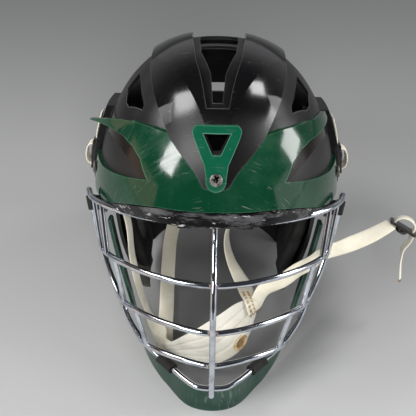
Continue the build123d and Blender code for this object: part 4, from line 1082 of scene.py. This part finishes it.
# %% Hole of the eyelet
EYELET_LONG, EYELET_WIDE = 0.0065, 0.004
EYELET_INSET, EYELET_ALONG = 0.36, 0.25
station_spots = cup_rows[4:6, :3]
station_ahead = unit(np.stack([cup_rows[5, :3] - cup_rows[3, :3], cup_rows[6, :3] - cup_rows[4, :3]]))
station_wide = square_to(cup_rows[4:6, 3:6], station_ahead)
corners = station_spots - station_wide * EYELET_INSET * CUP_WIDTH
eyelet_spot = corners[0] + (corners[1] - corners[0]) * EYELET_ALONG
eyelet_run = unit(corners[1] - corners[0])
eyelet_out = square_to(np.cross(station_ahead, station_wide).sum(axis=0), eyelet_run)
eyelet_rise = np.cross(eyelet_out, eyelet_run)
turns = np.linspace(0, 2 * np.pi, 48, endpoint=False)


def oval(grow, lift):
    """Ring of the eyelet's oval, grown and lifted along its axis."""
    long, wide = (EYELET_LONG + grow) * np.cos(turns), (EYELET_WIDE + grow) * np.sin(turns)
    return eyelet_spot + long[:, None] * eyelet_run + wide[:, None] * eyelet_rise + lift * eyelet_out


ROD_REACH, ROD_INSET = 0.012, 0.0002
rod = np.stack([oval(-ROD_INSET, lift) for lift in (-ROD_REACH, ROD_REACH)])
cutter = skin("eyelet_cutter", rod, webbing.material)
hole = cup.modifiers.new("eyelet_hole", "BOOLEAN")
hole.operation, hole.object, hole.solver = "DIFFERENCE", cutter, "EXACT"
cut = bpy.data.meshes.new_from_object(cup.evaluated_get(bpy.context.evaluated_depsgraph_get()))
cup.modifiers.clear()
cup.data = cut
bpy.data.objects.remove(cutter)
print("eyelet at", eyelet_spot.round(4))

# %% [markdown]
# The binding is dozens of turns of thread side by side round a cord. It is a thick ring whose section
# swells and shrinks a little with every turn, so it shows fine ridges.

# %% Bound rim
RIM_GROW, RIM_WIDE, RIM_DEEP, RIDGE = 0.0007, 0.0015, 0.0041, 0.07
eyelet_thread = Finish("eyelet_thread_tan", Roughness=0.75, Sheen_Weight=0.2)
soiled = eyelet_thread.noise(160, 4.0).between(0.4, 0.7)
eyelet_thread.feed("Base Color", eyelet_thread.mix(soiled, tone(214, 190, 148), tone(168, 136, 92)))
eyelet_thread.bump(eyelet_thread.noise(3000, 2.0), 0.3)
TURNS_OF_THREAD, SECTION = 76, 14
round_hole, round_cord = np.meshgrid(
    np.linspace(0, 2 * np.pi, TURNS_OF_THREAD * 4, endpoint=False),
    np.linspace(0, 2 * np.pi, SECTION, endpoint=False), indexing="ij",
)
ridge = 1 + RIDGE * np.cos(round_hole * TURNS_OF_THREAD)
spoke = np.stack([np.cos(round_hole), np.sin(round_hole)], axis=-1)
away = unit(spoke * (EYELET_WIDE, EYELET_LONG))
oval_line = spoke * (EYELET_LONG + RIM_GROW, EYELET_WIDE + RIM_GROW)
flat = oval_line + away * (np.cos(round_cord) * RIM_WIDE * ridge)[..., None]
lift = np.sin(round_cord) * RIM_DEEP * ridge
rim_rings = eyelet_spot + flat[..., :1] * eyelet_run + flat[..., 1:] * eyelet_rise
rim_rings = rim_rings + lift[..., None] * eyelet_out
rim = skin("cup_eyelet_bound", rim_rings, eyelet_thread.material, capped=False)
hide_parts("cup_eyelet")
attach(rim, "chin_set")
print("rim", TURNS_OF_THREAD, "turns")

# %% [markdown]
# ## Rows of stitches
#
# Each stitch is a short thread that dives in at both ends. Modelled one by one they would be slow, so one
# call bends all of them at once: a row of starts, a row of ends and the direction in which they arch.

# %% Stitches of the cup
stitch_thread = thread("stitch_thread", 200, tone(222, 212, 186), tone(170, 152, 120))


def stitches(
    name, starts, ends, outward, finish, radius=0.0003, rise=0.0004, body="chin_set"
):
    """Threads from starts to ends: start + (end - start) * t + outward * rise * (2 * sin(pi t) - 1)."""
    t = np.linspace(0, 1, 6)[None, :, None]
    arch = outward[:, None] * rise * (2 * np.sin(np.pi * t) - 1)
    paths = starts[:, None] + (ends - starts)[:, None] * t + arch
    made = skin(name, tubes(paths, radius, 6), finish.material)
    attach(made, body)


STITCHES = 34
first = np.linspace(0.06, 0.93, STITCHES, endpoint=False)
stitch_step = first[1] - first[0]
for number, seam in enumerate(CUP_SEAMS):
    for sheet, face_name in ((1.0, "outside"), (-1.0, "inside")):
        level = np.full(STITCHES, seam)
        starts = cup_places(first, level, sheet)
        ends = cup_places(first + stitch_step * 0.64, level, sheet)
        outward = cup_face[np.round(first * (CUP_RINGS - 1)).astype(int)] * sheet
        stitches(f"cup_stitches_{face_name}_{number + 1}", starts, ends, outward, stitch_thread)
print("cup sewn along", len(CUP_SEAMS), "lines")

# %% [markdown]
# The right high strap is sewn on over the cup's front with thick tan thread, in two slanted rows, and its
# cut end has frayed like the free tail's.

# %% Sewn strap end
tan_thread = thread("stitch_thread_tan", 260, tone(188, 158, 112), tone(138, 106, 66))
SEWN_LENGTH, SEWN_END, SLANT = 0.024, 0.002, 0.0011
THICK_THREAD, THREAD_PROUD = 0.00035, 0.0003
sewn = STRAPS["strap_high_right"]
middle, wide, face = strap_frame(sewn, 200)
strap_along = steps_along(middle)
sewn_at = strap_along[-1] - SEWN_LENGTH + np.linspace(0, SEWN_LENGTH - SEWN_END, 16)
nearest = np.searchsorted(strap_along, sewn_at)
ahead = unit(np.gradient(middle, axis=0))[nearest]
to_front = set_down_direction(np.array([0.0, -1.0, 0.3]))
out = face[nearest] * np.sign((face[nearest] * to_front).sum(1, keepdims=True))
for number, row in enumerate((-0.28, 0.02)):
    spot = middle[nearest] + wide[nearest] * row * WEBBING_WIDTH
    spot = spot + out * (WEBBING_THICKNESS / 2 + THREAD_PROUD)
    slant = wide[nearest] * SLANT * (1 if number else -1)
    name = f"strap_end_stitches_{number + 1}"
    stitches(name, spot - slant, spot + slant + ahead * SLANT, out, tan_thread, THICK_THREAD)
frayed("yarns_strap_end", sewn, 36, 0.0035, "chin_set", pieces=200)
print("strap end sewn")

# %% [markdown]
# ## Cup cloth
#
# The cup's cover is a fine plain weave in a cream that has gone grey where the chin sweats. It uses the
# same two crossed waves as the webbing at a smaller scale, and its soil is a slow noise.

# %% Cup cloth
cup_cloth = Finish("cup_cloth_cream", Roughness=0.88, Sheen_Weight=0.35)
weave_map = cup_cloth.node("UVMap", {"uv_map": "weave"})
WEAVE_COUNT = 7800
warp, weft = ((cup_cloth.part(weave_map, axis) * WEAVE_COUNT).sine() for axis in (0, 1))
plain_weave = warp * weft * 0.5 + 0.5
soil = cup_cloth.noise(42, 5.0).between(0.44, 0.78)
lint = cup_cloth.noise(2600, 2.0)
cloth_body = cup_cloth.mix(plain_weave * 0.2 + lint * 0.25, tone(240, 237, 226), tone(208, 202, 184))
cup_cloth.feed("Base Color", cup_cloth.mix(soil * 0.4, cloth_body, tone(172, 160, 134)))
cup_cloth.bump(plain_weave * 0.5 + lint * 0.7 + cup_cloth.noise(260, 3.0) * 0.8, 0.55, 0.0003)
cup.data.materials.clear()
cup.data.materials.append(cup_cloth.material)
cup.data.polygons.foreach_set("use_smooth", np.ones(len(cup.data.polygons), bool))
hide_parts("chin_cup")
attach(cup, "chin_set")
print("cup", len(cup.data.polygons), "faces")

# %% [markdown]
# ## Foam liner
#
# The pads inside the shell are slabs of closed-cell foam that were cut to an outline and pressed to the
# shell's curve, with rounded edges and a groove pressed along the middle so they bend. Each is a fan of
# rings from its middle to its outline, laid on the shell's curve, with the inner face lifted by a crowned
# thickness.

# %% Foam finish
foam = Finish("foam_black", Roughness=0.92)
cells = foam.node("TexVoronoi", {}, {"Vector": foam.places(), "Scale": 900.0})
rubbed_foam = foam.noise(45, 4.0).between(0.4, 0.75)
foam.feed("Base Color", foam.mix(rubbed_foam, tone(26, 26, 27), tone(50, 49, 48)))
foam.bump(cells + foam.noise(2200, 2.0) * 0.6, 0.4, 0.0003)
print("foam ready")

# %% [markdown]
# The outline of a pad is drawn flat, in the view in which the pad is seen best, and then every ring of
# the fan is pushed out along that view until it meets the shell's curve.

# %% Pad maker
PAD_THICKNESS, PAD_CLEAR = 0.012, 0.0004
PAD_AROUND, PAD_RINGS = 120, 22


def soft_outline(corners, count=PAD_AROUND, rounds=5):
    """A closed outline through corners, cut to equal steps, then smoothed: each point moves to the average
    of itself, twice, and its two neighbours."""
    closed = np.vstack([corners, corners[:1]])
    along = steps_along(closed)
    wanted = np.linspace(0, along[-1], count, endpoint=False)
    line = np.stack([np.interp(wanted, along, closed[:, axis]) for axis in (0, 1)], axis=1)
    for _ in range(rounds):
        line = (np.roll(line, 1, axis=0) + 2 * line + np.roll(line, -1, axis=0)) / 4
    return line


def crowned(share, groove):
    """Thickness share: (1 - share^4)^0.4 from the middle to the outline, less a bell-shaped groove."""
    return (1 - np.minimum(share, 1) ** 4) ** 0.4 * (1 - 0.3 * np.exp(-((groove / 0.09) ** 2)))


def shell_pad(name, corners, plane):
    """Pad whose outline is drawn in one view (front, rear, left, right or top) and laid under the shell:
    middle + (outline - middle) * share for both faces, the inner one moved in by the crowned thickness."""
    outline = soft_outline(np.array(corners, float))
    middle = outline.mean(axis=0)
    share = np.sin(np.linspace(0.04, np.pi / 2, PAD_RINGS))
    fan = middle + (outline - middle) * share[:, None, None]
    flat = np.zeros(fan.shape[:2])
    starts, direction = {
        "front": (np.stack([fan[..., 0], flat, fan[..., 1]], axis=-1), (0, -1, 0)),
        "rear": (np.stack([fan[..., 0], flat, fan[..., 1]], axis=-1), (0, 1, 0)),
        "left": (np.stack([flat, fan[..., 0], fan[..., 1]], axis=-1), (-1, 0, 0)),
        "right": (np.stack([flat, fan[..., 0], fan[..., 1]], axis=-1), (1, 0, 0)),
        "top": (np.stack([fan[..., 0], fan[..., 1], flat + EAR_HEIGHT], axis=-1), (0, 0, 1)),
    }[plane]
    groove = (fan[..., 1] - middle[1]) / np.abs(outline[:, 1] - middle[1]).max()
    depth = crowned(share[:, None], groove) * PAD_THICKNESS
    rounded = PAD_THICKNESS * 0.5 * share[:, None] ** 10
    outer = on_shell(starts, direction, -(WALL + PAD_CLEAR) - rounded)
    inner = on_shell(starts, direction, -(WALL + PAD_CLEAR) - np.maximum(depth, rounded + 0.0002))
    rings = np.concatenate([outer, inner[::-1]])
    made = skin(name + "_foam", set_down(rings), foam.material)
    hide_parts(name)
    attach(made, "helmet")


def mirrored(half):
    """The right half of an outline followed by its mirror image."""
    return list(half) + [(-x, y) for x, y in reversed(half) if x > 0]


print("pad maker ready")

# %% [markdown]
# Six pads line the crown: one at the brow, one at the nape, one at each side of the slot and one over
# each ear. Their outlines are shares of the shell's width, length and height.

# %% Liner pads
front_half = [(0, 1.22), (0.3, 1.22), (0.52, 1.26), (0.5, 1.4), (0.3, 1.45), (0, 1.45)]
rear_half = [(0, 0.88), (0.4, 0.9), (0.5, 1.0), (0.45, 1.15), (0, 1.17)]
crown_outline = [(0.25, -0.42), (0.5, -0.38), (0.55, 0), (0.52, 0.4), (0.27, 0.44)]
side_outline = [(-0.3, 1.15), (0.5, 1.13), (0.53, 1.3), (0.45, 1.42), (-0.2, 1.42), (-0.32, 1.3)]
shell_pad("pad_front", [(x * HALF_WIDTH, z * EAR_HEIGHT) for x, z in mirrored(front_half)], "front")
shell_pad("pad_rear", [(x * HALF_WIDTH, z * EAR_HEIGHT) for x, z in mirrored(rear_half)], "rear")
for side, way in SIDES:
    shell_pad(f"pad_crown_{side}", [(way * x * HALF_WIDTH, y * FRONT_REACH) for x, y in crown_outline], "top")
    shell_pad(f"pad_side_{side}", [(y * FRONT_REACH, z * EAR_HEIGHT) for y, z in side_outline], side)
print("liner pads laid")

# %% [markdown]
# ## Cheek pads
#
# A cheek pad is a ring of foam round the ear hole, behind the flap. Its surface goes round twice: once
# round the hole, from a rounded square outline to the oval of the hole, and once round the pad's own
# section.

# %% Curve of the flaps
FLAP_ROWS = [
    (1.05, (0.85, -0.37), (0.955, 0.06), (0.905, 0.45)),
    (0.906, (0.82, -0.355), (0.887, 0.09), (0.868, 0.52)),
    (0.75, (0.775, -0.34), (0.83, 0.115), (0.81, 0.58)),
    (0.594, (0.7, -0.31), (0.755, 0.154), (0.736, 0.57)),
    (0.469, (0.645, -0.215), (0.69, 0.17), (0.67, 0.49)),
    (0.375, (0.6, -0.06), (0.623, 0.17), (0.613, 0.37)),
]
FLAP_THICKNESS = 0.003
flap_heights = np.array([row[0] for row in FLAP_ROWS])[::-1] * EAR_HEIGHT
flap_spots = np.array([row[1:] for row in FLAP_ROWS])[::-1] * (HALF_WIDTH, FRONT_REACH)
flap_bows = np.array([np.polyfit(row[:, 1], row[:, 0], 2) for row in flap_spots])


def flap_width(rear, high):
    """Half width of the flap's outer face: a parabola front to rear at each height, mixed between heights."""
    bow = [np.interp(high, flap_heights, flap_bows[:, i]) for i in range(3)]
    return bow[0] * rear**2 + bow[1] * rear + bow[2]


print("flap curve from", len(FLAP_ROWS), "rows")

# %% [markdown]
# With that curve the pad is two outlines and a section. The outlines are blended by the section's own
# turn, which also lifts the skin from the flap's face to the pad's full thickness and back.

# %% Cheek pads
hole_middle, hole_size = np.array([0.022, 0.122]), np.array([0.017, 0.024])
pad_low, pad_high = (np.array(share) * (FRONT_REACH, EAR_HEIGHT) for share in ((-0.16, 0.51), (0.46, 0.93)))
pad_middle, pad_half = (pad_low + pad_high) / 2, (pad_high - pad_low) / 2
round_pad = np.linspace(0, 2 * np.pi, 96, endpoint=False)
spoke = np.stack([np.cos(round_pad), np.sin(round_pad)], axis=-1)
outer_line = pad_middle + pad_half * squared(spoke, 0.45)
inner_line = hole_middle + hole_size * unit((outer_line - hole_middle) / hole_size)
section = np.linspace(0, 2 * np.pi, 24, endpoint=False)
part = 0.5 - 0.5 * squared(np.cos(section), 0.6)
high_part = squared(np.sin(section), 0.5)
for side, way in SIDES:
    plan = outer_line[:, None] + (inner_line - outer_line)[:, None] * part[None, :, None]
    inset = FLAP_THICKNESS + PAD_CLEAR + PAD_THICKNESS * (0.5 + 0.5 * high_part)[None, :]
    width = flap_width(plan[..., 0], plan[..., 1]) - inset
    rings = np.stack([way * width, plan[..., 0], plan[..., 1]], axis=-1)
    made = skin(f"cheek_pad_{side}_foam", set_down(rings), foam.material, capped=False)
    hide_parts(f"cheek_pad_{side}")
    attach(made, "helmet")
print("cheek pads done")

# %% [markdown]
# ## Floor and light
#
# The photograph was taken on a plain grey sheet that is lighter near the lens. A sheet lit from near the lens
# would do it, but then the light would fall on the helmet too, so that light is painted into the sheet's
# colour instead, as a fade that darkens with distance. A soft oval of painted shadow darkens the sheet where
# the helmet stands on it.

# %% Floor
FLOOR_REACH = 6.0
floor_corners = [(x * FLOOR_REACH, y * FLOOR_REACH, 0) for x, y in ((-1, -1), (1, -1), (1, 1), (-1, 1))]
floor_mesh = bpy.data.meshes.new("floor")
floor_mesh.from_pydata(floor_corners, [], [(0, 1, 2, 3)])
floor = placed("floor", floor_mesh)
sheet = Finish("floor_sheet", Roughness=0.9)
on_floor = sheet.node("TexCoord", out="Object")
# Painted light: the sheet is lighter near the lens and darker far off, in place of a lamp's falloff.
far = sheet.part(on_floor, 1).between(-0.35, 0.75)
lit = sheet.mix(far, tone(182, 183, 182), tone(108, 109, 109))
# Painted shadow: a soft dark oval on the sheet under the helmet.
shadow_oval_place = {"Vector": on_floor, "Location": (-0.2, -0.2, 0), "Scale": (9, 7.5, 1)}
shadow_oval = sheet.node("Mapping", {}, shadow_oval_place)
from_middle = sheet.node("VectorMath", {"operation": "LENGTH"}, {0: shadow_oval}, out="Value")
shaded = from_middle.between(1.15, 0.55)
sheet.feed("Base Color", sheet.mix(shaded * 0.6, lit, tone(60, 60, 61)))
floor_mesh.materials.append(sheet.material)
print("floor", 2 * FLOOR_REACH, "m wide")

# %% [markdown]
# ## Softboxes
#
# The white shapes on the panel and the visor are reflections of softboxes. Following the line of sight to
# each one, and its mirror line off the curved surface, gives the direction in which that box stood.

# %% Lamps
CENTRE = Vector((0.0, 0.0, 0.12))


def softbox(name, azimuth, elevation, distance, width, height, watts):
    """A rectangular lamp that faces the helmet; azimuth from the front towards the right, in degrees."""
    lamp = bpy.data.lights.new(name, "AREA")
    lamp.shape, lamp.size, lamp.size_y, lamp.energy = "RECTANGLE", width, height, watts
    turn, rise = math.radians(azimuth), math.radians(elevation)
    out = Vector((math.sin(turn) * math.cos(rise), -math.cos(turn) * math.cos(rise), math.sin(rise)))
    box = placed(name, lamp)
    aimed = out.to_track_quat("Z", "Y").to_matrix().to_4x4()
    box.matrix_world = Matrix.Translation(CENTRE + out * distance) @ aimed
    return box


softbox("softbox_left", -50, 38, 2.2, 0.6, 0.75, 22)
softbox("softbox_right", 92, 25, 2.2, 0.8, 0.7, 17)
softbox("softbox_high_left", -97, 49, 2.2, 0.7, 0.6, 16)
softbox("softbox_high_right", 118, 43, 2.2, 0.42, 0.45, 8)
print("softboxes", len(bpy.data.lights))

# %% [markdown]
# Two wide dim cards give the broad haze at both ends of the visor, the left one warm as a wall of wood
# would be. One more lamp stands near the lens and lights the straps inside the mask. It is hidden from
# mirrored rays, because the photograph shows no lamp there.

# %% Cards and fill
warm = softbox("warm_card_left", -78, 8, 2.6, 2.4, 0.9, 5)
warm.data.color = (1.0, 0.72, 0.52)
softbox("pale_card_right", 78, 8, 2.6, 2.4, 0.9, 6)
fill = softbox("fill_front", 4, 30, 2.4, 0.6, 0.6, 37)
fill.visible_glossy = False
print("lamps", [lamp.name for lamp in bpy.data.lights])

# %% [markdown]
# The walls of the room light the soft parts evenly, but a glossy black helmet shows in them only what the
# photograph shows: dark in front and at the sides, and grey behind, along the horizon. So the world gives
# scattered rays one grey and mirrored rays a wall that brightens to the rear.

# %% Room
world = bpy.context.scene.world or bpy.data.worlds.new("room")
bpy.context.scene.world = world
world.use_nodes = True
room = NodeWeb(world.node_tree)
FRONT_GREY, REAR_GREY, SCATTERED_GREY = (0.045, 0.046, 0.05, 1), (0.3, 0.3, 0.31, 1), (0.3, 0.3, 0.305, 1)
ray = room.node("TexCoord", out="Generated")
wall = room.part(ray, 1).between(0.1, 0.8) * room.part(ray, 2).between(0.75, 0.2)
mirrored_room = room.mix(wall, FRONT_GREY, REAR_GREY)
seen = room.mix(room.node("LightPath", out="Is Diffuse Ray"), mirrored_room, SCATTERED_GREY)
room.tree.links.new(seen.socket, room.tree.nodes["Background"].inputs["Color"])
print("room", len(room.tree.nodes), "nodes")
